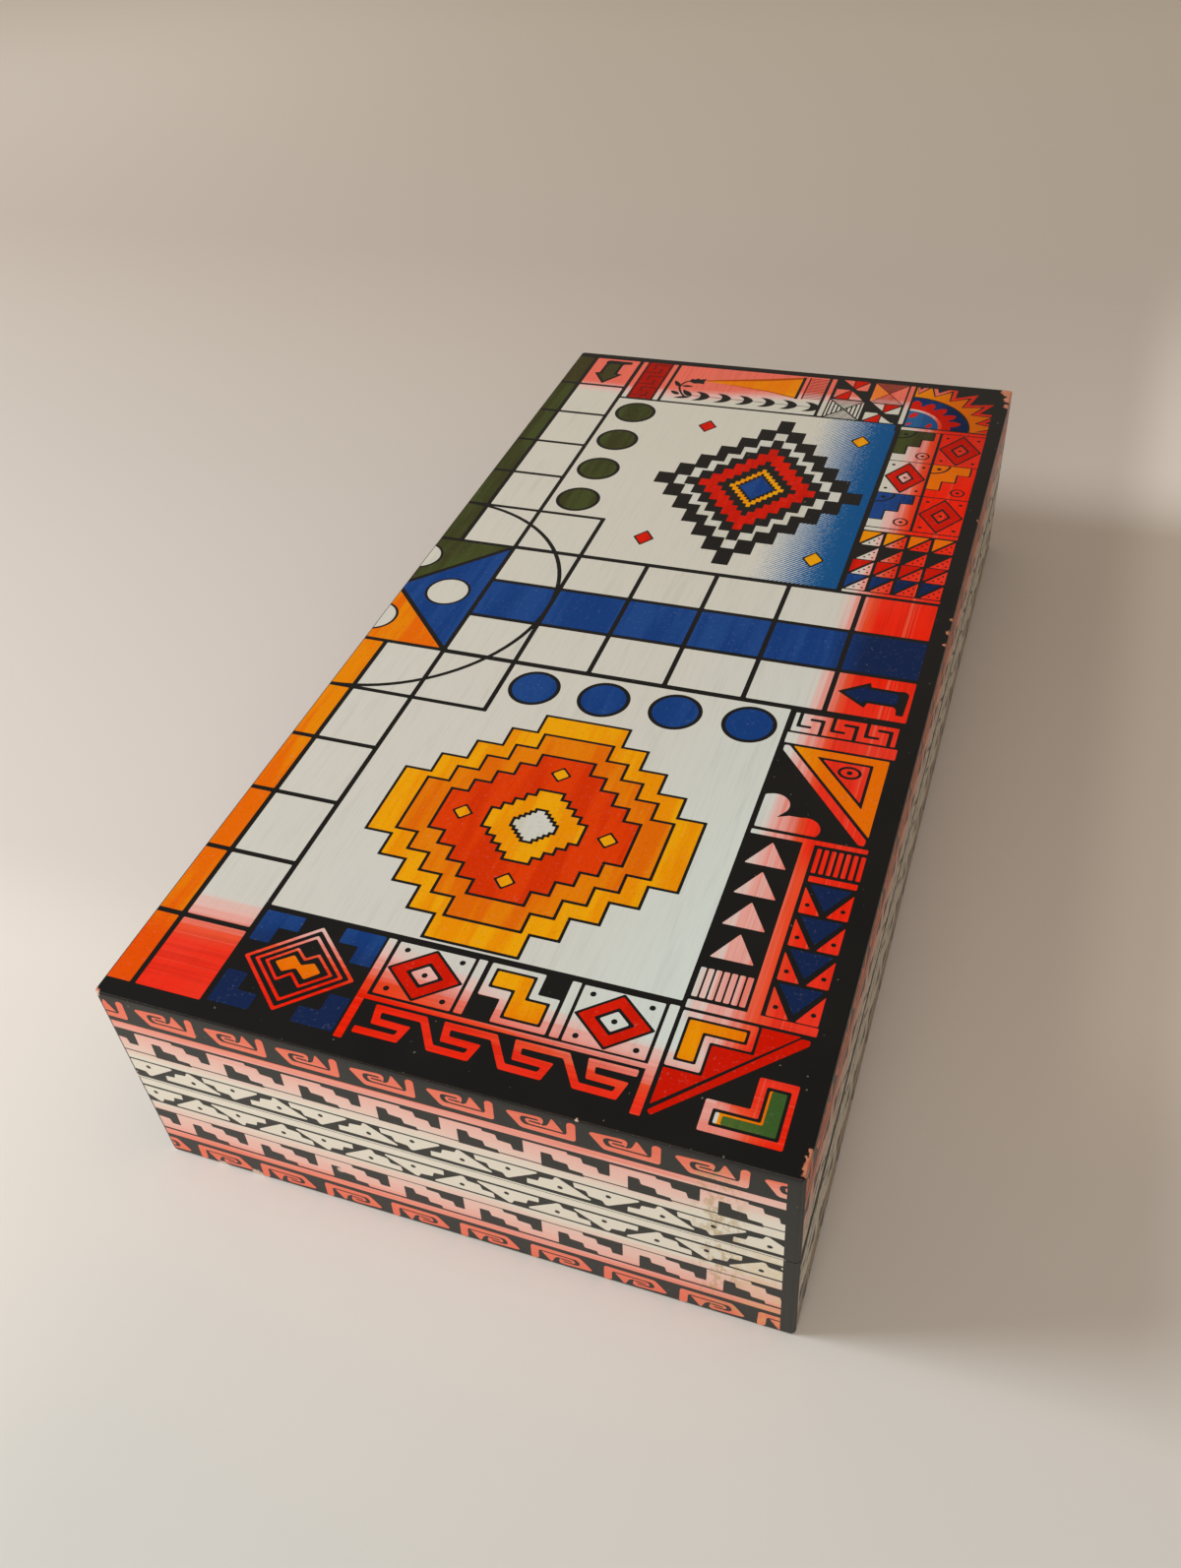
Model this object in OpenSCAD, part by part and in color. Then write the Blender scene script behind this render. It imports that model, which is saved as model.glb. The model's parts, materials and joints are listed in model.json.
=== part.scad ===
// Folding ludo box: two equal wooden half shells hinged along one long edge. Their outer
// faces make the whole board when the box is opened flat and turned over. The counters and
// the dice are kept inside.
// Frame: origin at the centre of the base, +X from the hinge side to the opening side,
// +Y from the front end to the back end, +Z up. The box is drawn closed.

/* [Playing field] */
// Length of one square of the track, along its arm
cell_pitch = 27; // [24:0.5:30]
// Squares along each arm
cells_per_arm = 6; // [5:1:7]
// Width of the two outer lanes of an arm
lane_w = 22.4; // [19:0.2:25]
// Width of the coloured lane in the middle of an arm
home_lane_w = 22.4; // [20:0.2:26]
// Width of the black lines between squares
line_w = 1.2; // [0.6:0.1:1.6]
// Width of the circle drawn round the middle of the board
centre_circle_w = 1.6; // [0.8:0.1:2]
// Radius of the white spots in the middle of the board
centre_spot_r = 7.6; // [5:0.2:8.4]
// Distance of those spots from the middle of the board
centre_spot_reach = 20.2; // [18:0.2:22]
// Radius of the places for waiting counters, with their black edge
place_r = 9; // [8.4:0.2:11]
// Distance between the places for waiting counters
place_pitch = 24.8; // [22:0.2:26]
// Distance of those places from the edge of their home square
place_inset = 12; // [11.5:0.1:15]
// Width of the ornament strips along the outer edges of the board
strip_w = 36; // [32:0.5:40]
// Strip of the pattern that is lost at the fold, on each half
fold_trim = 2.2; // [0:0.1:4]
// How far the pattern lies towards the back end
pattern_shift = 0.6; // [-2:0.1:2]
// Black border beyond the pattern at the front and back ends
end_border = 4.4; // [3:0.1:8]
// Black border beyond the pattern along the opening side
side_border = 5.1; // [3:0.1:8]

/* [Figures] */
// Width of the black edge round a coloured figure
figure_edge = 1; // [0.5:0.1:1.4]
// Length of the arrow that marks where a player's counters start
arrow_l = 22.8; // [18:0.2:23]
// Length of the arrow's head
arrow_head_l = 9.8; // [7:0.2:12]
// Width of the arrow's head
arrow_head_w = 13.5; // [11:0.5:15]
// Width of the arrow's shaft
arrow_shaft_w = 8.5; // [6:0.5:9]
// Width of the arrow's hooked tail
arrow_tail_w = 2.5; // [2:0.1:4]
// How far the hooked tail reaches past the shaft
arrow_hook = 3.6; // [2:0.2:5]
// Steps from the middle to each corner of the stepped lozenge in the far home square
lozenge_steps = 7; // [4:1:9]
// Width of the stepped lozenge
lozenge_w = 84; // [60:1:90]
// Length of the stepped lozenge
lozenge_l = 112; // [90:1:116]
// Steps in each corner of the stepped cross in the near home square
cross_steps = 4; // [2:1:6]
// Length and width of the stepped cross
cross_w = 100; // [80:1:104]

/* [Side bands] */
// Half the height of the pale line that the seam divides
seam_line_h = 1.8; // [1:0.1:3]
// Height of the row of stepped triangles
triangle_row_h = 6.3; // [5:0.1:7]
// Height of the pale line beyond the triangles
pale_line_h = 3.6; // [2:0.1:4]
// Height of the stepped zigzag
zigzag_row_h = 8.6; // [7:0.1:9]
// Height of the red line beyond the zigzag
red_line_h = 3.3; // [2:0.1:4]
// Height of the row of scrolls
scroll_row_h = 8.3; // [6:0.1:8.4]
// Black gap between the rows on the upper half
upper_row_gap = 1.1; // [0.4:0.1:1.2]
// Black gap between the rows on the lower half
lower_row_gap = 1.3; // [0.4:0.1:1.3]
// Length of one pair of stepped triangles
triangle_pitch = 28.2; // [24:0.1:32]
// Length of one repeat of the zigzag
zigzag_pitch = 23.5; // [20:0.1:28]
// Length of one repeat of the scrolls
scroll_pitch = 22.2; // [20:0.1:28]
// Width of the scroll's outer ribbon
scroll_ribbon_w = 1.7; // [1:0.1:1.8]
// Width of the ribbon where it curls inside the scroll
curl_ribbon_w = 1.1; // [0.8:0.1:1.2]
// Black gap between the curl and the ribbon below it
curl_gap = 0.4; // [0.3:0.05:0.6]
// Where the first whole triangle of the upper half starts, from the left end of a side
triangle_start = 11.8; // [0:0.1:28]
// Where the first whole repeat of the upper half's zigzag starts
zigzag_start = 8.4; // [0:0.1:23]
// Where the first whole scroll of the upper half starts
scroll_start = 11.8; // [0:0.1:22]
// Where the first whole triangle of the lower half starts, from the right end of a side
lower_triangle_start = 15.8; // [0:0.1:28]
// Where the first whole repeat of the lower half's zigzag starts
lower_zigzag_start = 21; // [0:0.1:23]
// Where the first whole scroll of the lower half starts
lower_scroll_start = 13.3; // [0:0.1:22]
// Radius of the dot in a stepped triangle
dot_r = 0.6; // [0.3:0.1:0.9]
// Bare stretch at the left end of a side's bands
band_start = 1.8; // [1.6:0.1:6]
// Bare stretch at the right end of a side's bands
band_end = 4.2; // [2:0.1:8]
// Thickness of the ink that stands on the lacquer of the sides
ink_t = 0.1; // [0.05:0.01:0.12]

/* [Shells] */
// Height of each half shell
shell_h = 39.2; // [36:0.1:50]
// Thickness of the board panels
panel_t = 4; // [3:0.1:6]
// Thickness of the rails that frame each shell
rail_t = 9; // [8:0.1:14]
// Radius of the box's upright corners
corner_r = 1.5; // [0.6:0.1:2]
// Thickness of the printed lacquer over the wood
coat_t = 0.2; // [0.1:0.05:0.4]
// Gap between the closed shells
seam_gap = 0.3; // [0.2:0.05:0.8]
// Gap between the shells' hinge sides when the box is opened flat
fold_gap = 0.3; // [0.2:0.05:0.8]

/* [Hinges] */
// Distance between the two hinges
hinge_spacing = 260; // [160:1:290]
// Length of a hinge
leaf_l = 30; // [24:0.5:40]
// Reach of a leaf over the rail, from the side of the box
leaf_w = 7; // [6:0.1:8]
// Thickness of a leaf
leaf_t = 0.9; // [0.7:0.1:1.2]
// Radius of the knuckles
barrel_r = 1.8; // [1.6:0.1:2.4]
// Knuckles of a hinge, shared by its two leaves
knuckles = 5; // [3:2:7]
// Gap between neighbouring knuckles
knuckle_gap = 0.15; // [0.1:0.05:0.3]
// Radius of the hinge pin
pin_r = 0.9; // [0.7:0.05:1]
// Radial running clearance of the pin in its knuckles
pin_clearance = 0.05; // [0.02:0.01:0.1]
// Radius of the pin's riveted heads
pin_head_r = 1.4; // [1.2:0.1:1.6]
// Height of the pin's riveted heads
pin_head_h = 0.6; // [0.4:0.1:1]
// Room round the knuckles in the rails
barrel_room = 0.25; // [0.2:0.05:0.6]
// Room round a leaf in its mortise
mortise_room = 0.1; // [0.05:0.05:0.3]

/* [Hinge screws] */
// Distance between the two screws of a leaf
screw_spacing = 18; // [12:0.5:20]
// Distance of the screws from the side of the box
screw_inset = 4.4; // [4.2:0.1:4.8]
// Radius of a screw's countersunk head
screw_head_r = 1.5; // [1.3:0.05:1.7]
// Radius of a screw's shank
screw_r = 0.75; // [0.6:0.05:0.9]
// Length of a screw
screw_l = 8; // [6:0.5:12]
// Length of a screw's pointed end
screw_tip_l = 2; // [1:0.1:3]
// Height of the countersunk part of the head
screw_head_h = 0.8; // [0.6:0.05:0.9]
// Width of the slot in a screw's head
screw_slot_w = 0.4; // [0.3:0.05:0.5]
// Depth of the slot in a screw's head
screw_slot_h = 0.35; // [0.2:0.05:0.5]
// Radial room round a screw in the wood and in the leaf
screw_room = 0.05; // [0.02:0.01:0.1]

/* [Counters and dice] */
// Diameter of a counter
counter_d = 16; // [12:0.5:17]
// Height of a counter
counter_h = 5; // [3:0.1:8]
// Width of a counter's rounded-over edge
counter_edge = 0.8; // [0.3:0.1:1.2]
// Width of the raised rim of a counter
counter_rim_w = 2.4; // [1.6:0.1:3.5]
// Depth of the dish inside the rim
counter_dish = 0.9; // [0.4:0.1:1.4]
// Counters of each colour
counters_each = 4; // [2:1:4]
// Distance between counters as they lie in the tray
counter_pitch = 18.5; // [17.5:0.5:22]
// Distance of the nearest counters from the rails
counter_margin = 4; // [2:0.5:10]
// Width of a die
die_w = 13; // [10:0.5:16]
// Radius of the ball that rounds off a die's corners
die_ball_r = 9; // [8.5:0.1:9.8]
// Radius of the ball that hollows out a pip
pip_ball_r = 1.3; // [1:0.1:1.6]
// Depth of a pip
pip_depth = 0.5; // [0.3:0.1:0.8]
// Distance of the outer pips from the middle of a die's face
pip_reach = 3.1; // [2.4:0.1:3.6]
// Distance between the dice
die_pitch = 20; // [17:0.5:30]

/* [Hidden] */
$fn = 48;
// The pattern's own measures, from the middle of the whole board
half_centre = home_lane_w / 2 + lane_w;
arm_l = cells_per_arm * cell_pitch;
field_reach = half_centre + arm_l;
home_reach = field_reach - strip_w;
// The size of the box follows from the playing field that it carries
board_l = 2 * (field_reach + end_border);
board_w = field_reach - fold_trim + side_border;

half_line = line_w / 2;
// The circle round the middle touches the far line of the first square of each arm
centre_circle_r = half_centre + cell_pitch;
// How far a cutting shape runs past the faces that it opens
past = 1;

// Where the hinge axis lies, in a half shell's frame with the seam face at z = 0
axis_x = -board_w / 2 - fold_gap / 2;
axis_z = -seam_gap / 2;
bore_r = pin_r + pin_clearance;
knuckle_l = leaf_l / knuckles;
hinge_ys = [-hinge_spacing / 2, hinge_spacing / 2];
screw_ys = [-screw_spacing / 2, screw_spacing / 2];

// Heights of the side bands, and where each one starts, counted from the seam
BAND_HS = [seam_line_h, triangle_row_h, pale_line_h, zigzag_row_h, red_line_h, scroll_row_h];
function row_gap(half) = half == "upper" ? upper_row_gap : lower_row_gap;
function row_starts(half) = half == "upper"
    ? [triangle_start, zigzag_start, scroll_start]
    : [lower_triangle_start, lower_zigzag_start, lower_scroll_start];
function band_z(half, band) = band == 0 ? 0 : band_z(half, band - 1) + BAND_HS[band - 1] + row_gap(half);

tray_x = board_w / 2 - rail_t;
tray_y = board_l / 2 - rail_t;

INKS = ["white", "red", "blue", "green", "yellow"];
// The colours of the players whose arms point right, back and front on each half's face
UPPER_PLAYERS = ["blue", "green", "yellow"];
LOWER_PLAYERS = ["red", "yellow", "green"];

LACQUER = "#1b1a1c";
WOOD = "#b98a5c";
BRASS = "#b59a54";
INK_COLOURS = [
    ["white", "#e6ddcb"],
    ["pink", "#e9a596"],
    ["red", "#dd3a22"],
    ["blue", "#1f4a86"],
    ["green", "#3f5a2c"],
    ["yellow", "#f09a14"]
];

function ink_colour(ink) = [for (entry = INK_COLOURS) if (entry[0] == ink) entry[1]][0];
function players(half) = half == "upper" ? UPPER_PLAYERS : LOWER_PLAYERS;

// Frames

// A half shell is drawn with its seam face at z = 0 and its playing face at z = shell_h
module place_half(half) {
    if (half == "upper")
        translate([0, 0, shell_h + seam_gap]) children();
    else
        translate([0, 0, shell_h]) mirror([0, 0, 1]) children();
}

// From the pattern's frame, with its origin at the middle of the whole board, to the face
module place_pattern(half) {
    translate([-board_w / 2 - fold_trim, pattern_shift])
        mirror([0, half == "upper" ? 0 : 1]) children();
}

// Along the four sides in turn: x runs to the right as seen from outside, y up from the seam
module place_side(side) {
    side_l = side % 2 == 0 ? board_w : board_l;
    reach = side % 2 == 0 ? board_l / 2 : board_w / 2;
    rotate([0, 0, 90 * side]) translate([-side_l / 2, -reach, 0]) rotate([90, 0, 0]) children();
}

// General outlines

module rounded_rectangle(w, l, r) {
    square([w - 2 * r, l], center = true);
    square([w, l - 2 * r], center = true);
    for (x = [-w / 2 + r, w / 2 - r], y = [-l / 2 + r, l / 2 - r])
        translate([x, y]) circle(r);
}

module box_outline() {
    rounded_rectangle(board_w, board_l, corner_r);
}

module wood_outline() {
    rounded_rectangle(board_w - 2 * coat_t, board_l - 2 * coat_t, corner_r - coat_t);
}

// A rectangle between two corners, drawn in by half a line on every side
module tile(low, high) {
    translate([low[0] + half_line, low[1] + half_line])
        square([high[0] - low[0] - line_w, high[1] - low[1] - line_w]);
}

// One straight stretch of a ribbon, run on at both ends so that stretches meet at corners
module ribbon_stretch(from, to, w) {
    turn = atan2(to[1] - from[1], to[0] - from[0]);
    translate(from) rotate(turn) translate([-w / 2, -w / 2]) square([norm(to - from) + w, w]);
}

module ribbon(path, w) {
    for (i = [0:len(path) - 2])
        ribbon_stretch(path[i], path[i + 1], w);
}

module ring(r, w) {
    difference() {
        circle(r + w / 2);
        circle(r - w / 2);
    }
}

// A lozenge whose four edges are flights of steps
module stepped_lozenge(size, steps) {
    for (i = [1:steps])
        square([size[0] * (steps - i + 0.5), size[1] * (i - 0.5)] / (steps - 0.5), center = true);
}

// A cross whose arms are 0.3 of its width, with a flight of steps in each corner
module stepped_cross(w, steps, inset) {
    rise = 0.7 * w / steps;
    for (i = [0:steps])
        square([0.3 * w + i * rise - 2 * inset, w - i * rise - 2 * inset], center = true);
}

// The pattern of the playing face

// Squares of one lane of the arm that points to the right
module lane(low, high, first, last) {
    for (k = [first:last])
        tile([half_centre + k * cell_pitch, low], [half_centre + (k + 1) * cell_pitch, high]);
}

// The two outer lanes of the arm that points to the right
module outer_lanes(first, last) {
    lane(home_lane_w / 2, half_centre, first, last);
    lane(-half_centre, -home_lane_w / 2, first, last);
}

module centre_triangle() {
    // Half a line lies square to each slanting edge
    slant = half_line * sqrt(2);
    polygon([
        [slant, 0],
        [half_centre - half_line, half_centre - half_line - slant],
        [half_centre - half_line, -half_centre + half_line + slant]
    ]);
}

module centre_spot(r) {
    translate([centre_spot_reach, 0]) circle(r);
}

// Waiting places of the player whose arm lies clockwise of the home square
module waiting_places(r) {
    for (k = [0:3])
        translate([
            half_centre + cell_pitch + place_inset + k * place_pitch,
            -half_centre - place_inset
        ]) circle(r);
}

// Arrow on the last square of an arm's outer lane, pointing to the middle of the board.
// Its coloured body lies inside a black edge, and its hooked tail is black.
module place_arrow() {
    translate([
        field_reach - cell_pitch / 2 - arrow_l / 2,
        -home_lane_w / 2 - lane_w / 2 + arrow_hook / 4
    ]) children();
}

module arrow_outline() {
    shaft = arrow_shaft_w / 2;
    place_arrow() {
        polygon([[0, 0], [arrow_head_l, arrow_head_w / 2], [arrow_head_l, -arrow_head_w / 2]]);
        translate([arrow_head_l - 1, -shaft]) square([arrow_l - arrow_head_l + 1 - arrow_tail_w, 2 * shaft]);
        translate([arrow_l - arrow_tail_w, -shaft - arrow_hook])
            square([arrow_tail_w, 2 * shaft + arrow_hook - arrow_tail_w / 2]);
    }
}

module arrow_body() {
    shaft = arrow_shaft_w / 2 - figure_edge;
    tip = figure_edge * 3;
    place_arrow() {
        polygon([[tip, 0], [arrow_head_l - figure_edge, shaft * 1.2], [arrow_head_l - figure_edge, -shaft * 1.2]]);
        translate([arrow_head_l - figure_edge - 1, -shaft])
            square([arrow_l - arrow_head_l + 1 - arrow_tail_w, 2 * shaft]);
    }
}

// Everything in one player's colour on the arm that points to the right
module player_ground() {
    lane(-home_lane_w / 2, home_lane_w / 2, 0, cells_per_arm - 1);
    centre_triangle();
}

module player_figures() {
    waiting_places(place_r - figure_edge);
    arrow_body();
}

// The turns of the right, back and front arms
ARM_TURNS = [0, 90, -90];

module home_square(side) {
    // The square next to the middle is a square of its own, in the corner of the home square
    difference() {
        tile([half_centre, side > 0 ? half_centre : -home_reach], [home_reach, side > 0 ? home_reach : -half_centre]);
        translate([half_centre, side * half_centre])
            for (turn = [0, 90])
                rotate(side * turn) translate([cell_pitch, 0])
                    ribbon([[0, 0], [0, side * (turn == 0 ? cell_pitch : -cell_pitch)]], line_w);
    }
}

module white_ground() {
    for (turn = ARM_TURNS)
        rotate(turn) outer_lanes(0, cells_per_arm - 2);
    home_square(1);
    home_square(-1);
}

module red_ground() {
    for (turn = ARM_TURNS)
        rotate(turn) outer_lanes(cells_per_arm - 1, cells_per_arm - 1);
}

// The figures that fill the two home squares: a stepped lozenge and a stepped cross, each
// nested in itself at smaller and smaller shares of its size
far_middle = [home_reach - lozenge_w / 2 - place_r / 2, (half_centre + home_reach) / 2];
near_middle = [(half_centre + home_reach) / 2, -home_reach + cross_w / 2 + 2 * figure_edge];

// A white ring, a red ring and a blue middle lie between these shares of the lozenge, and
// yellow, red, yellow and white start inwards from these shares of the cross
LOZENGE_SHARES = [0.8, 0.7, 0.56, 0.38, 0.2];
CROSS_SHARES = [1, 0.63, 0.32, 0.15];

module far_lozenge(share) {
    translate(far_middle) scale(share) stepped_lozenge([lozenge_w, lozenge_l], lozenge_steps);
}

// With an inset, the cross leaves a black line of that width inside the one without
module near_cross(share, inset = 0) {
    translate(near_middle) stepped_cross(share * cross_w, cross_steps, inset);
}

// Black figures and lines that lie over the pale and red grounds
module black_over() {
    ring(centre_circle_r, centre_circle_w);
    for (turn = ARM_TURNS)
        rotate(turn) {
            waiting_places(place_r);
            arrow_outline();
            centre_spot(centre_spot_r + figure_edge);
        }
    far_lozenge(1);
    near_cross(1);
}

// Ornament of the strips round the outer edges. It is drawn for a strip of this width and
// length and scaled to fit. Figures in the ground's own ink are asked for as "ground".
DRAWN_W = 36;
DRAWN_L = 126;
// Black line round a small figure, the dots in them, and the rings
fine_line = 0.8;
fine_dot_r = 0.7;
fine_ring_r = 2.8;

module block(low, high) {
    translate(low) square(high - low);
}

module lozenge(half) {
    polygon([[-half[0], 0], [0, -half[1]], [half[0], 0], [0, half[1]]]);
}

// A light tile with a red lozenge, a light one in it, and dots
module lozenge_tile(size, ink) {
    inner = size * 0.23;
    // How much further a line's far edge lies at the tips of a lozenge of this tile's slant
    tip = fine_line / 2 * norm(size) * [1 / size[1], 1 / size[0]];
    translate(size / 2) {
        if (ink == "ground") {
            difference() {
                square(size, center = true);
                lozenge(size / 2 + tip);
                for (x = [-1, 1], y = [-1, 1])
                    translate([0.365 * x * size[0], 0.375 * y * size[1]]) circle(fine_dot_r);
            }
            difference() {
                lozenge(inner - tip);
                circle(fine_dot_r);
            }
        }
        if (ink == "red")
            difference() {
                lozenge(size / 2 - tip);
                lozenge(inner + tip);
            }
    }
}

// Steps that go down from a tile's upper left corner, run past it where they cut
module tile_steps(size, edge) {
    w = size[0];
    h = size[1];
    out = edge > 0 ? past : 0;
    polygon([
        [-out, h + out], [0.86 * w + edge, h + out], [0.86 * w + edge, 0.75 * h - edge],
        [0.58 * w + edge, 0.75 * h - edge], [0.58 * w + edge, 0.51 * h - edge],
        [0.28 * w + edge, 0.51 * h - edge], [0.28 * w + edge, 0.235 * h - edge], [-out, 0.235 * h - edge]
    ]);
}

module ring_and_dot(r) {
    ring(r, fine_line);
    circle(fine_dot_r);
}

// A light tile with coloured steps, a quarter ring in their corner and a ringed dot opposite
module stepped_tile(size, own, ink) {
    if (ink == own)
        difference() {
            tile_steps(size, 0);
            translate([0, size[1]]) ring(0.4 * size[0], fine_line);
            translate([0.16 * size[0], 0.88 * size[1]]) circle(fine_dot_r);
        }
    if (ink == "ground")
        difference() {
            square(size);
            tile_steps(size, fine_line);
            translate([0.74 * size[0], 0.2 * size[1]]) ring_and_dot(fine_ring_r);
        }
}

// A tile split along its diagonal, with four dots on its light half
module half_tile(size, own, ink) {
    w = size[0];
    h = size[1];
    if (ink == own)
        polygon([[0, fine_line], [0, h], [w - fine_line, h]]);
    if (ink == "ground")
        difference() {
            polygon([[fine_line, 0], [w, 0], [w, h - fine_line]]);
            for (spot = [[0.85, 0.17], [0.47, 0.17], [0.66, 0.36], [0.85, 0.56]])
                translate([spot[0] * w, spot[1] * h]) circle(0.6 * fine_dot_r);
        }
}

// Strip along the opening side, back half, upwards from the arm
TILE_INKS = ["blue", "yellow", "green"];
GRID_INKS = ["yellow", "black", "red", "blue"];

module back_side_strip(ink) {
    lefts = [0.7, 18.3];
    widths = [16.4, 17.1];
    feet = [45.4, 71.1, 96.4];
    for (row = [0:2], column = [0:1])
        translate([lefts[column], feet[row]])
            if (column == row % 2)
                stepped_tile([widths[column], 24.8], TILE_INKS[row], ink);
            else
                lozenge_tile([widths[column], 24.8], ink);
    for (row = [0:3], column = [0:3])
        translate([0.7 + 8.9 * column, 32.4 - 9.84 * row]) half_tile([7.7, 9.2], GRID_INKS[row], ink);
    if (ink == "ground")
        for (foot = [0.9, 42.7, 122.2])
            block([0.7, foot], [35.4, foot + 1.9]);
}

// Corner at the back: a quarter of a rayed disc with a toothed ring in it
module sun_rays(tip_r, valley_r) {
    pitch = 14.4;
    polygon(concat([[0, 0]], [for (k = [-1:6]) each [
        valley_r * [sin(9.5 + (k - 0.5) * pitch), cos(9.5 + (k - 0.5) * pitch)],
        tip_r * [sin(9.5 + k * pitch), cos(9.5 + k * pitch)]
    ]]));
}

module toothed_disc() {
    circle(19);
    for (k = [0:4])
        rotate(-5.5 - 17.3 * k)
            polygon([[-2.1, 18.5], [-1.6, 21.2], [0, 23.2], [1.6, 21.2], [2.1, 18.5]]);
}

module sun_layer(ink) {
    if (ink == "ground") {
        difference() {
            circle(15.6);
            circle(13.9);
        }
        difference() {
            sun_rays(42.5, 33.2);
            sun_rays(38.6, 30);
        }
    }
    if (ink == "yellow")
        difference() {
            sun_rays(36.6, 29);
            circle(26.8);
        }
    if (ink == "blue") {
        difference() {
            circle(26);
            toothed_disc();
        }
        circle(13.2);
    }
    if (ink == "red")
        difference() {
            toothed_disc();
            circle(16);
        }
}

module back_corner(ink) {
    // It has no green in it
    if (ink != "green")
        intersection() {
            block([1.4, 0.5], [35.2, 35.1]);
            translate([1.4, -0.8]) sun_layer(ink);
        }
}

// Strip along the back end, rightwards from the arm
module leaf_pair() {
    for (flip = [0, 1])
        mirror([0, flip])
            polygon([[0, -0.1], [-0.9, 1.9], [-3.2, 3.8], [-6.6, 4.3], [-4.6, 2.6], [-3.2, -0.1]]);
}

module maze_lines() {
    for (k = [0:2])
        translate([0, 11.1 * k]) {
            block([-past, 3.4], [6.8, 4.2]);
            block([6, 3.4], [6.8, 7.8]);
            block([3, 11.6], [10.3 + past, 12.4]);
            block([3, 7.6], [3.8, 12.4]);
        }
}

module horn(edge) {
    polygon([
        [32.9 - 3 * edge, 22.3], [60.4, 28.6 + edge], [77.3 + edge, 33.8 + edge],
        [77.3 + edge, 14.4 - edge], [64.4, 18 - edge]
    ]);
}

// A square of four quarters, each split along its diagonal, two of them half black
module pinwheel(size, ink) {
    x = size[0] / 2;
    y = size[1] / 2;
    g = fine_line / 2;
    translate([x, y])
        for (turn = [0, 180])
            rotate(turn) {
                if (ink == "ground") {
                    polygon([[-g, y], [-x + 1.6, y], [-g, 1.4]]);
                    polygon([[x, y - 1.8], [x, g], [1.8, g]]);
                }
                if (ink == "red")
                    polygon([[g, y], [x - 1, y], [g, 1.2]]);
            }
}

// A square of four triangles that meet in the middle
module crossed_square(size, ink) {
    if (ink == "ground")
        difference() {
            square(size);
            ribbon([[-past, -past * size[1] / size[0]], size * (1 + past / size[0])], fine_line);
            ribbon([[-past, size[1] + past * size[1] / size[0]], [size[0] + past, -past * size[1] / size[0]]],
                fine_line);
        }
}

module back_end_strip(ink) {
    if (ink == "ground") {
        for (left = [1, 15.7, 89.8, 124.4])
            block([left, 0.7], [left + 2, 35.1]);
        difference() {
            block([19.3, 0.7], [88.4, 35.1]);
            horn(fine_line);
            for (k = [0:6])
                translate([32 + 8.9 * k, 7.6]) leaf_pair();
            ribbon([[28.9, 7.6], [86, 7.6]], 0.4);
            ribbon([[27.9, 8.4], [24, 15], [26.5, 20.6], [30.4, 21.4]], fine_line);
            for (k = [0:9])
                block([80.2, 15 + 2 * k], [87.6, 15.7 + 2 * k]);
        }
    }
    if (ink == "red")
        difference() {
            block([4.4, 0.9], [14.5, 34.9]);
            translate([4.4, -1.6]) maze_lines();
        }
    if (ink == "yellow")
        horn(0);
    translate([92.9, 17.9]) pinwheel([14.5, 17], ink);
    translate([108.8, 0.7]) pinwheel([14.5, 16], ink);
    translate([92.9, 0.7]) crossed_square([14.3, 16], ink);
    translate([108.9, 17.9]) crossed_square([14.5, 17], ink);
}

// Strip along the opening side, front half, upwards from the home square's lower corner
module fret_hooks() {
    for (k = [0:2])
        translate([2 + 10.8 * k, 0]) {
            block([0, 2.3], [1.25, 9.1 + past]);
            block([0, 2.3], [4.9, 3.5]);
            block([7.4, -past], [8.7, 7.3]);
            block([3.8, 6], [8.7, 7.3]);
        }
}

module eyed_triangle(ink) {
    if (ink == "ground") {
        polygon([[0.7, 107.3], [2.3, 107.4], [33.2, 71.9], [33, 69.6], [31.3, 69.6], [0.7, 105]]);
        difference() {
            polygon([[13.9, 103.5], [28.4, 103.5], [28.4, 87]]);
            translate([22.9, 99.2]) ring_and_dot(fine_ring_r);
        }
    }
    if (ink == "yellow")
        difference() {
            polygon([[3.6, 107.5], [33.6, 107.5], [33.6, 73.2]]);
            polygon([[11.5, 104.5], [29.4, 104.5], [29.4, 84.2]]);
        }
}

module lobed_figure() {
    intersection() {
        block([0.5, 69.7], [20, 86]);
        union() {
            block([0.5, 69.7], [5.5, 80]);
            translate([3.8, 79.6]) circle(4.4);
            block([0.5, 69.7], [14.6, 75.4]);
            translate([14.6, 71.9]) circle(4.5);
        }
    }
}

module triangle_stack(ink) {
    if (ink == "ground") {
        for (k = [0:3])
            translate([7.5, 64.2 - 12.2 * k]) polygon([[0, 0], [6.1, -9.8], [-6.1, -9.8]]);
        for (k = [0:6])
            block([0.4 + 2.16 * k, 3.7], [2 + 2.16 * k, 13.7]);
    }
}

module blue_stack(ink) {
    if (ink == "ground") {
        for (k = [0:6])
            block([20.5 + 2.13 * k, 55.5], [21.8 + 2.13 * k, 65.2]);
        block([20.5, 52], [34.5, 54.2]);
    }
    for (k = [0:3])
        translate([27.4, 50.9 - 12.3 * k]) {
            if (ink == "blue")
                polygon([[-5.9, 0], [5.9, 0], [0, -9.3]]);
            if (ink == "ground")
                for (side = [-1, 1])
                    difference() {
                        polygon([[6.9 * side, -1.3], [6.9 * side, -11.2], [0.9 * side, -11.2]]);
                        translate([5 * side, -7.9]) circle(fine_dot_r);
                    }
        }
}

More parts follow.
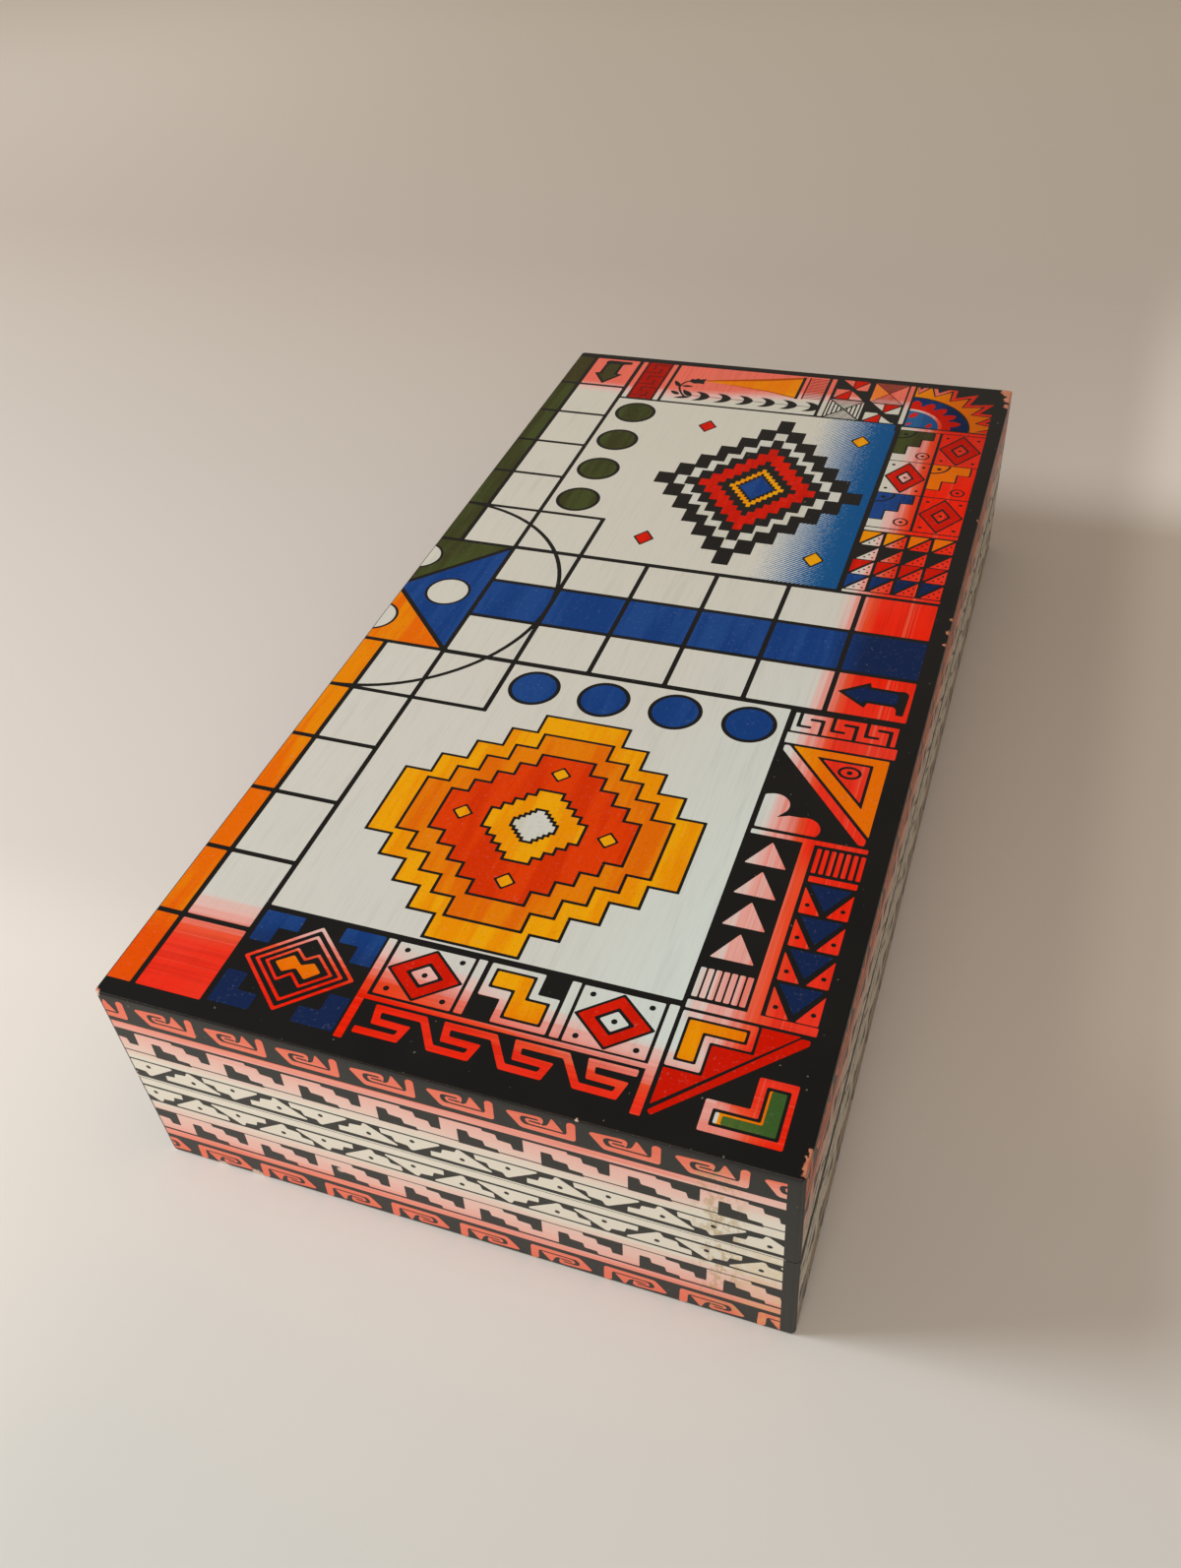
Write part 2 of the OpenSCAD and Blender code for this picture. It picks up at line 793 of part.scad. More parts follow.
module front_side_strip(ink) {
    if (ink == "ground") {
        translate([0, 114.6])
            difference() {
                block([0.7, 0], [33.8, 9.1]);
                fret_hooks();
            }
        block([0.7, 108.8], [34.6, 113.4]);
        lobed_figure();
        block([0.7, 66.4], [34.6, 68.3]);
        block([0.7, 0], [34.6, 2.4]);
    }
    if (ink == "red")
        block([15.8, 3.2], [19.3, 65.6]);
    eyed_triangle(ink);
    triangle_stack(ink);
    blue_stack(ink);
}

// Corner at the front: an angle in a red half square, and a framed angle on black
module angle_figure(a, b, w) {
    polygon([[0, 0], [a, 0], [a, -w], [w, -w], [w, -b], [0, -b]]);
}

module front_corner(ink) {
    if (ink == "ground") {
        difference() {
            translate([0.7, 34.4]) angle_figure(19.3, 17.6, 8);
            translate([1.7, 33.4]) angle_figure(17, 15, 5.8);
        }
        difference() {
            translate([34.1, 1]) rotate(180) angle_figure(21.2, 18.9, 10);
            translate([32.9, 2.6]) rotate(180) angle_figure(17.8, 15.2, 6.6);
        }
    }
    if (ink == "yellow")
        translate([2.4, 32.6]) angle_figure(15.4, 13.4, 4.2);
    if (ink == "green")
        translate([32, 3.5]) rotate(180) angle_figure(16, 13.4, 4.8);
    if (ink == "red") {
        difference() {
            polygon([[0.7, 34.4], [30.6, 34.4], [0.7, 5]]);
            translate([-past, 34.4 + past]) angle_figure(21 + past, 18.5 + past, 9 + past);
        }
        polygon([[33.3, 34], [33.5, 32.6], [1.6, 1.6], [0.7, 3.2], [31.3, 34]]);
    }
}

// Strip along the front end, rightwards from the arm
module lozenge_line(half, w) {
    difference() {
        lozenge(half);
        lozenge(half - w * norm(half) * [1 / half[1], 1 / half[0]]);
    }
}

module nested_lozenges(ink) {
    if (ink == "blue")
        difference() {
            square([38, 33.4], center = true);
            square([13.2, 33.4 + past], center = true);
            square([38 + past, 10.4], center = true);
            square([25.2, 22.6], center = true);
        }
    if (ink == "ground") {
        lozenge_line([16.9, 15], 1);
        lozenge_line([13.5, 11.8], 0.9);
        ribbon([[-9, 0.6], [-3.3, 6], [0.4, 3.1], [3.5, 5.7], [9, -0.2]], fine_line);
        ribbon([[-9, -0.6], [-4.2, -5.5], [-1, -2.3], [3.1, -6], [9, -0.8]], fine_line);
    }
    if (ink == "yellow")
        polygon([
            [-7.3, 0.2], [-3.3, 3.6], [0.2, 1], [3.6, 2.7], [6.8, -0.1],
            [3.2, -3.4], [-0.7, -0.4], [-4.2, -2.6]
        ]);
}

// A step figure of two overlapping squares' corners
module bolt(low, high, cut) {
    difference() {
        block(low, high);
        block([low[0] - past, low[1] - past], [low[0] + cut[0], low[1] + cut[1]]);
        block([high[0] - cut[0], high[1] - cut[1]], [high[0] + past, high[1] + past]);
    }
}

module bolt_tile(ink) {
    if (ink == "ground")
        difference() {
            bolt([71.6, 16.6], [93.8, 35.3], [6.4, 7.4]);
            bolt([73.2, 18.2], [92.2, 33.7], [7, 8.2]);
        }
    if (ink == "yellow")
        bolt([74, 19], [91.4, 32.9], [7, 8.2]);
}

module meander() {
    pitch = 20.1;
    ribbon(concat(
        [[44.2, 4.4]],
        [for (k = [0:3]) each concat(
            [[56.6 + k * pitch, 4.4], [57.6 + k * pitch, 8], [48.9 + k * pitch, 8.2], [48.1 + k * pitch, 12]],
            k < 3 ? [[61.3 + k * pitch, 12], [66.4 + k * pitch, 4.4]] : [[120.4, 12]]
        )]
    ), 2);
}

module front_end_strip(ink) {
    translate([20, 18.7]) nested_lozenges(ink);
    for (low = [[43.9, 16.7], [98.4, 16.7]])
        translate(low) lozenge_tile([22.6, 18.5], ink);
    bolt_tile(ink);
    if (ink == "ground") {
        for (left = [40.1, 122.2])
            block([left, 0.7], [left + 2.5, 35.3]);
        for (left = [67.6, 95])
            block([left, 16.7], [left + 2.4, 35.3]);
        block([42, 14.2], [123, 15.7]);
        meander();
    }
}

module strip_figures(ink) {
    fit = min(strip_w / DRAWN_W, (home_reach - half_centre) / DRAWN_L);
    translate([home_reach, half_centre]) scale(fit) back_side_strip(ink);
    translate([home_reach, home_reach]) scale(fit) back_corner(ink);
    translate([half_centre, home_reach]) scale(fit) back_end_strip(ink);
    translate([home_reach, -home_reach]) scale(fit) front_side_strip(ink);
    translate([home_reach, -field_reach]) scale(fit) front_corner(ink);
    translate([half_centre, -field_reach]) scale(fit) front_end_strip(ink);
}

// Where the ground of the strips is pale; further out it is red
module pale_zone() {
    block(
        [0, -home_reach - 0.555 * strip_w],
        [home_reach + 0.49 * strip_w, home_reach + 0.475 * strip_w]
    );
}

module strip_ink(ink) {
    if (ink == "white")
        intersection() {
            strip_figures("ground");
            pale_zone();
        }
    else
        strip_figures(ink);
    if (ink == "red")
        difference() {
            strip_figures("ground");
            pale_zone();
        }
}

module figures(half, ink) {
    for (i = [0:2])
        if (players(half)[i] == ink)
            rotate(ARM_TURNS[i]) player_figures();
    if (ink == "white") {
        for (turn = ARM_TURNS)
            rotate(turn) centre_spot(centre_spot_r);
        difference() {
            far_lozenge(LOZENGE_SHARES[0]);
            far_lozenge(LOZENGE_SHARES[1]);
        }
        near_cross(CROSS_SHARES[3], figure_edge);
    }
    if (ink == "red") {
        difference() {
            far_lozenge(LOZENGE_SHARES[2]);
            far_lozenge(LOZENGE_SHARES[3]);
        }
        difference() {
            near_cross(CROSS_SHARES[1], figure_edge);
            near_cross(CROSS_SHARES[2]);
        }
    }
    if (ink == "yellow") {
        difference() {
            near_cross(CROSS_SHARES[0], figure_edge);
            near_cross(CROSS_SHARES[1]);
        }
        difference() {
            near_cross(CROSS_SHARES[2], figure_edge);
            near_cross(CROSS_SHARES[3]);
        }
    }
    if (ink == "blue")
        far_lozenge(LOZENGE_SHARES[4]);
    strip_ink(ink);
}

module grounds(half, ink) {
    for (i = [0:2])
        if (players(half)[i] == ink)
            rotate(ARM_TURNS[i]) player_ground();
    if (ink == "white")
        white_ground();
    if (ink == "red")
        red_ground();
}

module face_ink(half, ink) {
    intersection() {
        box_outline();
        place_pattern(half) {
            difference() {
                grounds(half, ink);
                black_over();
            }
            figures(half, ink);
        }
    }
}

module face_black(half) {
    difference() {
        box_outline();
        place_pattern(half)
            difference() {
                for (ink = INKS)
                    grounds(half, ink);
                black_over();
            }
        place_pattern(half)
            for (ink = INKS)
                figures(half, ink);
    }
}

// The bands round the sides

// A triangle with one stepped edge, standing on its long edge
module stepped_triangle() {
    w = triangle_pitch * 0.62;
    h = triangle_row_h;
    peak = w * 0.49;
    difference() {
        polygon([
            [0, 0], [0, h * 0.3], [peak * 0.45, h * 0.3], [peak * 0.45, h * 0.68],
            [peak * 0.92, h * 0.68], [peak, h], [w, 0]
        ]);
        translate([peak * 1.05, h * 0.38]) circle(dot_r);
    }
}

// One figure again and again, from before a side's left end to past its right end
module repeat_along(row_l, start, pitch) {
    for (k = [-1:ceil((row_l - start) / pitch)])
        translate([start + k * pitch, 0]) children();
}

module whole_line(row_l, h) {
    translate([-zigzag_pitch, 0]) square([row_l + 2 * zigzag_pitch, h]);
}

module triangle_row(row_l, start) {
    repeat_along(row_l, start, triangle_pitch) {
        stepped_triangle();
        translate([triangle_pitch * 0.48, triangle_row_h]) mirror([0, 1]) stepped_triangle();
    }
}

// The black steps that leave a stepped ribbon between them
module zigzag_steps() {
    p = zigzag_pitch;
    h = zigzag_row_h;
    polygon([
        [p * 0.48, h + past], [p * 0.48, h * 0.84], [p * 0.65, h * 0.84], [p * 0.65, h * 0.57],
        [p * 0.83, h * 0.57], [p * 0.83, h * 0.33], [p * 0.98, h * 0.33], [p * 0.98, h + past]
    ]);
    polygon([
        [p * 0.17, -past], [p * 0.17, h * 0.69], [p * 0.32, h * 0.69], [p * 0.32, h * 0.43],
        [p * 0.49, h * 0.43], [p * 0.49, h * 0.16], [p * 0.66, h * 0.16], [p * 0.66, -past]
    ]);
}

module zigzag_row(row_l, start) {
    difference() {
        whole_line(row_l, zigzag_row_h);
        repeat_along(row_l, start, zigzag_pitch) zigzag_steps();
    }
}

// An angular scroll: an upright, a bar and a slanted arm, then a curl that ends in a triangle
module scroll() {
    w = scroll_pitch * 0.84;
    h = scroll_row_h;
    outer = scroll_ribbon_w;
    inner = curl_ribbon_w;
    top = h * 0.88;
    middle = h * 0.48;
    curl_floor = outer + curl_gap;
    translate([w - 1.25 * outer, 0]) square([1.25 * outer, h]);
    translate([0.2 * w, 0]) square([0.8 * w, outer]);
    polygon([
        [0, top - 0.45 * outer], [0.065 * w, top], [0.26 * w, top - inner],
        [0.22 * w, 0.35 * h], [0.26 * w, outer / 2], [0.205 * w, 0]
    ]);
    translate([0.065 * w, top - 1.2 * inner]) square([0.49 * w, 1.2 * inner]);
    translate([0.555 * w - inner, middle]) square([inner, top - middle]);
    translate([0.27 * w, middle]) square([0.285 * w, 0.8 * inner]);
    translate([0.27 * w, curl_floor]) square([inner, middle + 0.8 * inner - curl_floor]);
    translate([0.27 * w, curl_floor]) square([0.5 * w, inner]);
    polygon([
        [0.625 * w, curl_floor + inner / 2], [0.64 * w, 0.87 * h], [0.675 * w, 0.95 * h],
        [0.83 * w, curl_floor + inner / 2], [0.79 * w, curl_floor]
    ]);
}

module scroll_row(row_l, start) {
    repeat_along(row_l, start, scroll_pitch) scroll();
}

module side_ink_whole(half, row_l, ink) {
    starts = row_starts(half);
    if (ink == "white") {
        whole_line(row_l, seam_line_h);
        translate([0, band_z(half, 1)]) triangle_row(row_l, starts[0]);
        translate([0, band_z(half, 2)]) whole_line(row_l, pale_line_h);
    }
    if (ink == "pink")
        translate([0, band_z(half, 3)]) zigzag_row(row_l, starts[1]);
    if (ink == "red") {
        translate([0, band_z(half, 4)]) whole_line(row_l, red_line_h);
        translate([0, band_z(half, 5)]) scroll_row(row_l, starts[2]);
    }
}

// The lower half's bands are the upper ones turned half round, and start from the right end
module side_ink(half, row_l, ink) {
    intersection() {
        translate([band_start, 0]) square([row_l - band_start - band_end, shell_h - 2 * coat_t]);
        if (half == "upper")
            side_ink_whole(half, row_l, ink);
        else
            translate([row_l, 0]) mirror([1, 0]) side_ink_whole(half, row_l, ink);
    }
}

// The hinge side is left black, and the other three are printed
module side_print(half, ink) {
    for (side = [0:2])
        place_side(side) linear_extrude(ink_t) side_ink(half, side % 2 == 0 ? board_w : board_l, ink);
}

// Cuts that the hinges need

module barrel_hollows() {
    reach = leaf_l / 2 + pin_head_h + mortise_room;
    for (y = hinge_ys)
        translate([axis_x, y + reach, axis_z]) rotate([90, 0, 0])
            cylinder(r = barrel_r + barrel_room, h = 2 * reach);
}

module leaf_mortises() {
    for (y = hinge_ys)
        translate([-board_w / 2 - past, y - leaf_l / 2 - mortise_room, -past])
            cube([leaf_w + mortise_room + past, leaf_l + 2 * mortise_room, leaf_t + past]);
}

module place_screws() {
    for (y = hinge_ys, step = screw_ys)
        translate([-board_w / 2 + screw_inset, y + step, 0]) children();
}

module screw_pilots() {
    place_screws() cylinder(r = screw_r + screw_room, h = screw_l + screw_room);
}

module hinge_cuts() {
    barrel_hollows();
    leaf_mortises();
    screw_pilots();
}

// Wooden pieces, drawn in a half shell's frame

module panel() {
    translate([0, 0, shell_h - panel_t]) linear_extrude(panel_t - coat_t) wood_outline();
}

// The rails along the sides run the whole length, and the end rails stand between them
module long_rail(direction) {
    low = direction > 0 ? board_w / 2 - rail_t : -board_w / 2 - past;
    intersection() {
        linear_extrude(shell_h - panel_t) wood_outline();
        translate([low, -board_l / 2 - past, -past]) cube([rail_t + past, board_l + 2 * past, shell_h + 2 * past]);
    }
}

module end_rail(direction) {
    low = direction > 0 ? board_l / 2 - rail_t : -board_l / 2 + coat_t;
    translate([-board_w / 2 + rail_t, low, 0])
        cube([board_w - 2 * rail_t, rail_t - coat_t, shell_h - panel_t]);
}

module hinge_rail() {
    difference() {
        long_rail(-1);
        hinge_cuts();
    }
}

// Lacquer and print, drawn in a half shell's frame

module face_plate(half) {
    translate([0, 0, shell_h - coat_t]) linear_extrude(coat_t) children();
}

module side_coat() {
    difference() {
        linear_extrude(shell_h - coat_t) box_outline();
        translate([0, 0, -past]) linear_extrude(shell_h + past) wood_outline();
        hinge_cuts();
    }
}

// Hinges, drawn in a half shell's frame

// The knuckles of one leaf are every second one, from the first or from the second
module knuckle_row(first, r, room) {
    for (k = [first:2:knuckles - 1])
        translate([axis_x, leaf_l / 2 - k * knuckle_l + room, axis_z]) rotate([90, 0, 0])
            cylinder(r = r, h = knuckle_l + 2 * room);
}

module leaf(y, first) {
    translate([0, y, 0])
        difference() {
            union() {
                translate([axis_x, -leaf_l / 2, 0]) cube([leaf_w + fold_gap / 2, leaf_l, leaf_t]);
                knuckle_row(first, barrel_r, -knuckle_gap / 2);
            }
            knuckle_row(1 - first, barrel_r + barrel_room, knuckle_gap / 2);
            translate([axis_x, leaf_l / 2 + past, axis_z]) rotate([90, 0, 0])
                cylinder(r = bore_r, h = leaf_l + 2 * past);
            for (step = screw_ys)
                translate([-board_w / 2 + screw_inset, step, 0]) {
                    translate([0, 0, -past]) cylinder(r = screw_r + screw_room, h = leaf_t + 2 * past);
                    screw_head(screw_room);
                }
        }
}

module hinge_pin(y) {
    translate([axis_x, y + leaf_l / 2, axis_z]) rotate([90, 0, 0]) {
        translate([0, 0, -pin_head_h]) cylinder(r = pin_r, h = leaf_l + 2 * pin_head_h);
        translate([0, 0, knuckle_gap / 2 - pin_head_h]) cylinder(r = pin_head_r, h = pin_head_h);
        translate([0, 0, leaf_l - knuckle_gap / 2]) cylinder(r = pin_head_r, h = pin_head_h);
    }
}

module screw_head(room) {
    cylinder(r1 = screw_head_r + room, r2 = screw_r + room, h = screw_head_h);
}

module screw() {
    difference() {
        union() {
            screw_head(0);
            cylinder(r = screw_r, h = screw_l - screw_tip_l);
            translate([0, 0, screw_l - screw_tip_l]) cylinder(r1 = screw_r, r2 = 0.1, h = screw_tip_l);
        }
        translate([-screw_slot_w / 2, -screw_head_r - past, -past])
            cube([screw_slot_w, 2 * (screw_head_r + past), screw_slot_h + past]);
    }
}

// Counters and dice, drawn on the floor of the lower tray

module counter() {
    r = counter_d / 2;
    rotate_extrude()
        polygon([
            [0, 0], [r - counter_edge, 0], [r, counter_edge], [r, counter_h - counter_edge],
            [r - counter_edge, counter_h], [r - counter_rim_w, counter_h],
            [r - counter_rim_w - counter_dish, counter_h - counter_dish], [0, counter_h - counter_dish]
        ]);
}

module counter_set(row) {
    for (k = [0:counters_each - 1])
        translate([
            -tray_x + counter_margin + counter_d / 2 + k * counter_pitch,
            -tray_y + counter_margin + counter_d / 2 + row * counter_pitch,
            panel_t
        ]) counter();
}

// Where the pips of each number lie, in steps of pip_reach
PIPS = [
    [[0, 0]],
    [[-1, -1], [1, 1]],
    [[-1, -1], [0, 0], [1, 1]],
    [[-1, -1], [-1, 1], [1, -1], [1, 1]],
    [[-1, -1], [-1, 1], [0, 0], [1, -1], [1, 1]],
    [[-1, -1], [-1, 0], [-1, 1], [1, -1], [1, 0], [1, 1]]
];
// The turns that bring each number's face to the top; opposite faces add up to seven
FACE_TURNS = [[0, 0, 0], [90, 0, 0], [0, 90, 0], [0, -90, 0], [-90, 0, 0], [180, 0, 0]];

module die() {
    difference() {
        intersection() {
            cube(die_w, center = true);
            sphere(die_ball_r);
        }
        for (number = [0:5], spot = PIPS[number])
            rotate(FACE_TURNS[number])
                translate([spot[0] * pip_reach, spot[1] * pip_reach, die_w / 2 + pip_ball_r - pip_depth])
                    sphere(pip_ball_r);
    }
}

module dice_pair() {
    past_counters = -tray_x + counter_margin + counter_d + (counters_each - 1) * counter_pitch;
    for (k = [0, 1])
        translate([
            past_counters + die_pitch / 2 + die_w / 2,
            -tray_y + counter_margin + die_w * 0.7 + k * die_pitch,
            panel_t + die_w / 2
        ]) rotate([0, 0, 20 + 35 * k]) rotate(FACE_TURNS[2 + 3 * k]) die();
}

// Nodes

module lower_panel() { color(WOOD) place_half("lower") panel(); }
module lower_front_rail() { color(WOOD) place_half("lower") end_rail(-1); }
module lower_back_rail() { color(WOOD) place_half("lower") end_rail(1); }
module lower_hinge_rail() { color(WOOD) place_half("lower") hinge_rail(); }
module lower_opening_rail() { color(WOOD) place_half("lower") long_rail(1); }
module upper_panel() { color(WOOD) place_half("upper") panel(); }
module upper_front_rail() { color(WOOD) place_half("upper") end_rail(-1); }
module upper_back_rail() { color(WOOD) place_half("upper") end_rail(1); }
module upper_hinge_rail() { color(WOOD) place_half("upper") hinge_rail(); }
module upper_opening_rail() { color(WOOD) place_half("upper") long_rail(1); }

module face_layer(half, ink) {
    color(ink_colour(ink)) place_half(half) face_plate() face_ink(half, ink);
}

module black_layer(half) {
    color(LACQUER) place_half(half) face_plate() face_black(half);
}

module side_layer(half, ink) {
    color(ink_colour(ink)) place_half(half) side_print(half, ink);
}

module black_sides(half) {
    color(LACQUER) place_half(half) side_coat();
}

module lower_leaf(y) { color(BRASS) place_half("lower") leaf(y, 0); }
module upper_leaf(y) { color(BRASS) place_half("upper") leaf(y, 1); }
module pin(y) { color(BRASS) place_half("lower") hinge_pin(y); }
module leaf_screws(half) { color(BRASS) place_half(half) place_screws() screw(); }

lower_panel();
lower_front_rail();
lower_back_rail();
lower_hinge_rail();
lower_opening_rail();
upper_panel();
upper_front_rail();
upper_back_rail();
upper_hinge_rail();
upper_opening_rail();
black_layer("lower");  // lower_face_black
face_layer("lower", "white");  // lower_face_white
face_layer("lower", "red");  // lower_face_red
face_layer("lower", "green");  // lower_face_green
face_layer("lower", "yellow");  // lower_face_yellow
face_layer("lower", "blue");  // lower_face_blue
black_layer("upper");  // upper_face_black
face_layer("upper", "white");  // upper_face_white
face_layer("upper", "red");  // upper_face_red
face_layer("upper", "green");  // upper_face_green
face_layer("upper", "yellow");  // upper_face_yellow
face_layer("upper", "blue");  // upper_face_blue
black_sides("lower");  // lower_side_black
side_layer("lower", "white");  // lower_side_white
side_layer("lower", "pink");  // lower_side_pink
side_layer("lower", "red");  // lower_side_red
black_sides("upper");  // upper_side_black
side_layer("upper", "white");  // upper_side_white
side_layer("upper", "pink");  // upper_side_pink
side_layer("upper", "red");  // upper_side_red
lower_leaf(hinge_ys[0]);  // front_hinge_lower_leaf
upper_leaf(hinge_ys[0]);  // front_hinge_upper_leaf
pin(hinge_ys[0]);  // front_hinge_pin
lower_leaf(hinge_ys[1]);  // back_hinge_lower_leaf
upper_leaf(hinge_ys[1]);  // back_hinge_upper_leaf
pin(hinge_ys[1]);  // back_hinge_pin
leaf_screws("lower");  // lower_leaf_screws
leaf_screws("upper");  // upper_leaf_screws
color(ink_colour("blue")) counter_set(0);  // blue_counters
color(ink_colour("green")) counter_set(1);  // green_counters
color(ink_colour("red")) counter_set(2);  // red_counters
color(ink_colour("yellow")) counter_set(3);  // yellow_counters
color("#efe7d6") dice_pair();  // dice
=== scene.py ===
"""Looks of a folding ludo box, closed, with its printed playing face up.

Lengths in the pattern are millimetres, counted from the middle of the whole board: x towards
the opening side, y towards the back end. Everything else is in metres, in the frame's axes.
"""
from contextlib import contextmanager
import json
import math

import bmesh
import bpy
from mathutils import Matrix, Vector
from mathutils.geometry import delaunay_2d_cdt
import numpy as np


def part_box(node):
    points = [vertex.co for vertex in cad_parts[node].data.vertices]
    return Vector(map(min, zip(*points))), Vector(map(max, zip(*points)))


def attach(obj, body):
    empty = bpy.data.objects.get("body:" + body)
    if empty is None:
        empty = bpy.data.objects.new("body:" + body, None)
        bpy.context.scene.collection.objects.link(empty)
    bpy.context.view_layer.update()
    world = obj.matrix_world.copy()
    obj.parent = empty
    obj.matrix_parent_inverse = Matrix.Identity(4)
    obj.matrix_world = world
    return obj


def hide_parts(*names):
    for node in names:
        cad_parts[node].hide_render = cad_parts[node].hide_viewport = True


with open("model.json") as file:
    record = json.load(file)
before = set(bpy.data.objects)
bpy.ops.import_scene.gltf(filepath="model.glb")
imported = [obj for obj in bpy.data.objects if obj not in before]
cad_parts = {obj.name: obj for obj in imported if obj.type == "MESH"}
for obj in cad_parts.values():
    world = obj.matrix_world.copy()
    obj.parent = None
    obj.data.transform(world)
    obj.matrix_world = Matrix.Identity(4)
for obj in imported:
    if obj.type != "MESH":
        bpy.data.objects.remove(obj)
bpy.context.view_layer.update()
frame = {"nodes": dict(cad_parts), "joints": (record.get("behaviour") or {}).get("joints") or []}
MM = 0.001

# The box, read from the frame, in millimetres
side_low, side_high = [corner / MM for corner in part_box("upper_side_black")]
face_low, face_high = [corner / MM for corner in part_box("upper_face_black")]
SEAM_UPPER = side_low.z
SEAM_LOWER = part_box("lower_side_black")[1].z / MM
HALF_W = side_high.x
HALF_L = side_high.y
TOP_Z = face_high.z
SHELL_H = TOP_Z - SEAM_UPPER
COAT_T = TOP_Z - face_low.z
CORNER_R = 1.5
FOLD_AXIS = Vector(next(j for j in frame["joints"] if j["name"] == "board_fold")["pos_m"]) / MM

# The pattern: its squares and lines, and how far from the board's middle its parts reach
LANE_W = 22.4
CELL = 27
CELLS = 6
LINE = 1.75
HOME_LINE = 0.5
HALF_CENTRE = 1.5 * LANE_W
FIELD = HALF_CENTRE + CELLS * CELL
STRIP_W = 36
HOME = FIELD - STRIP_W
CIRCLE_R = HALF_CENTRE + CELL
CIRCLE_LINE = 1.6
BORDER = 4
FOLD_TRIM = 2.2
PATTERN_SHIFT = 0.6
INK_CORNER_R = 0.45
RECT_CORNER_R = 0.35

# Thickness of the ink, and height of the lacquer's face, which leaves it room inside the source's box
INK_T = 0.05
INK_ROOM = 0.01
FACE_H = SHELL_H - INK_T - INK_ROOM
EDGE_R = 0.6

# The four ways from a middle to its corners
CORNERS = ((-1, -1), (-1, 1), (1, -1), (1, 1))


# Flat figures

def arc_points(centre, r, start, stop, count, r_y=None):
    """Points along an arc in degrees, both ends included."""
    turns = [math.radians(start + (stop - start) * i / count) for i in range(count + 1)]
    return [(centre[0] + r * math.cos(t), centre[1] + (r_y or r) * math.sin(t)) for t in turns]


def circle_points(centre, r, r_y=None):
    """Points round a circle or an ellipse, in a multiple of four, and more of them on a larger one."""
    least, most = 4, 24
    quarter = max(least, min(most, int(10 * math.sqrt(r))))
    return arc_points(centre, r, 0, 360, 4 * quarter, r_y)[:-1]


def offset_path(points, distance, closed):
    """The points moved sideways by a distance, to the left of the way they run, with mitred corners."""
    least_mitre = 0.35
    path = [Vector(point) for point in points]
    moved = []
    for i, here in enumerate(path):
        legs = []
        if closed or i > 0:
            legs.append(here - path[i - 1])
        if closed or i < len(path) - 1:
            legs.append(path[(i + 1) % len(path)] - here)
        sides = [Vector((-leg.y, leg.x)).normalized() for leg in legs]
        side = sum(sides, Vector((0, 0))).normalized()
        moved.append(tuple(here + side * distance / max(least_mitre, side.dot(sides[0]))))
    return moved


def stroke(points, width):
    """The outline of an open line of that width."""
    left = offset_path(points, width / 2, False)
    right = offset_path(points, -width / 2, False)
    return left + right[::-1]


def rounded(points, r):
    """The closed path with its sharper corners a little round, as ink leaves them."""
    least_turn, least_edge, edge_share = 30, 1e-6, 0.4
    path = []
    for i, point in enumerate(points):
        here = Vector(point)
        back, on = Vector(points[i - 1]) - here, Vector(points[(i + 1) % len(points)]) - here
        if min(back.length, on.length) < least_edge or math.degrees(back.angle(-on)) < least_turn:
            path.append(point)
            continue
        reach = min(r, edge_share * back.length, edge_share * on.length)
        first, last = here + back.normalized() * reach, here + on.normalized() * reach
        path += [tuple(first), tuple((first + here * 2 + last) / 4), tuple(last)]
    return path


def stairs_points(x, y, steps, w=1, h=1):
    """A flight of steps down from a corner. Each step gives how far it reaches across and down."""
    points, level = [(x, y)], y
    for wide, deep in steps:
        points += [(x + wide * w, level), (x + wide * w, y - deep * h)]
        level = y - deep * h
    return points + [(x, level)]


class Pattern:
    """Figures laid over one another in order, each one or more contours filled by the even-odd rule."""

    def __init__(self):
        self.figures = []
        self.place = Matrix.Identity(3)

    @contextmanager
    def at(self, x=0, y=0, turn=0, flip_x=False, flip_y=False):
        """Draws flipped, turned in degrees and moved, while it lasts."""
        before = self.place
        turned = Matrix.Rotation(math.radians(turn), 3, "Z")
        flipped = Matrix.Diagonal((-1 if flip_x else 1, -1 if flip_y else 1, 1))
        moved = Matrix(((1, 0, x), (0, 1, y), (0, 0, 1)))
        self.place = before @ moved @ turned @ flipped
        yield
        self.place = before

    def add(self, ink, *contours, r=INK_CORNER_R):
        placed = [[(self.place @ Vector((x, y, 1))).to_2d() for x, y in rounded(contour, r)]
                  for contour in contours]
        self.figures.append((ink, placed))

    def rect(self, ink, x0, y0, x1, y1, r=RECT_CORNER_R):
        self.add(ink, [(x0, y0), (x1, y0), (x1, y1), (x0, y1)], r=r)

    def rects(self, ink, *boxes):
        for box in boxes:
            self.rect(ink, *box)

    def disc(self, ink, x, y, r, r_y=None):
        self.add(ink, circle_points((x, y), r, r_y))

    def ring(self, ink, x, y, r, width, r_y=None):
        inner_y = None if r_y is None else r_y - width
        self.add(ink, circle_points((x, y), r, r_y), circle_points((x, y), r - width, inner_y))

    def line(self, ink, points, width):
        self.add(ink, stroke(points, width))

    def frame(self, ink, points, width):
        """A closed line of that width."""
        self.add(ink, offset_path(points, width / 2, True), offset_path(points, -width / 2, True))

    def outlined(self, ink, points, width):
        """A coloured figure inside a black line that follows its edge."""
        self.add("black", points)
        inward = -1 if signed_area(points) < 0 else 1
        self.add(ink, offset_path(points, inward * width, True))


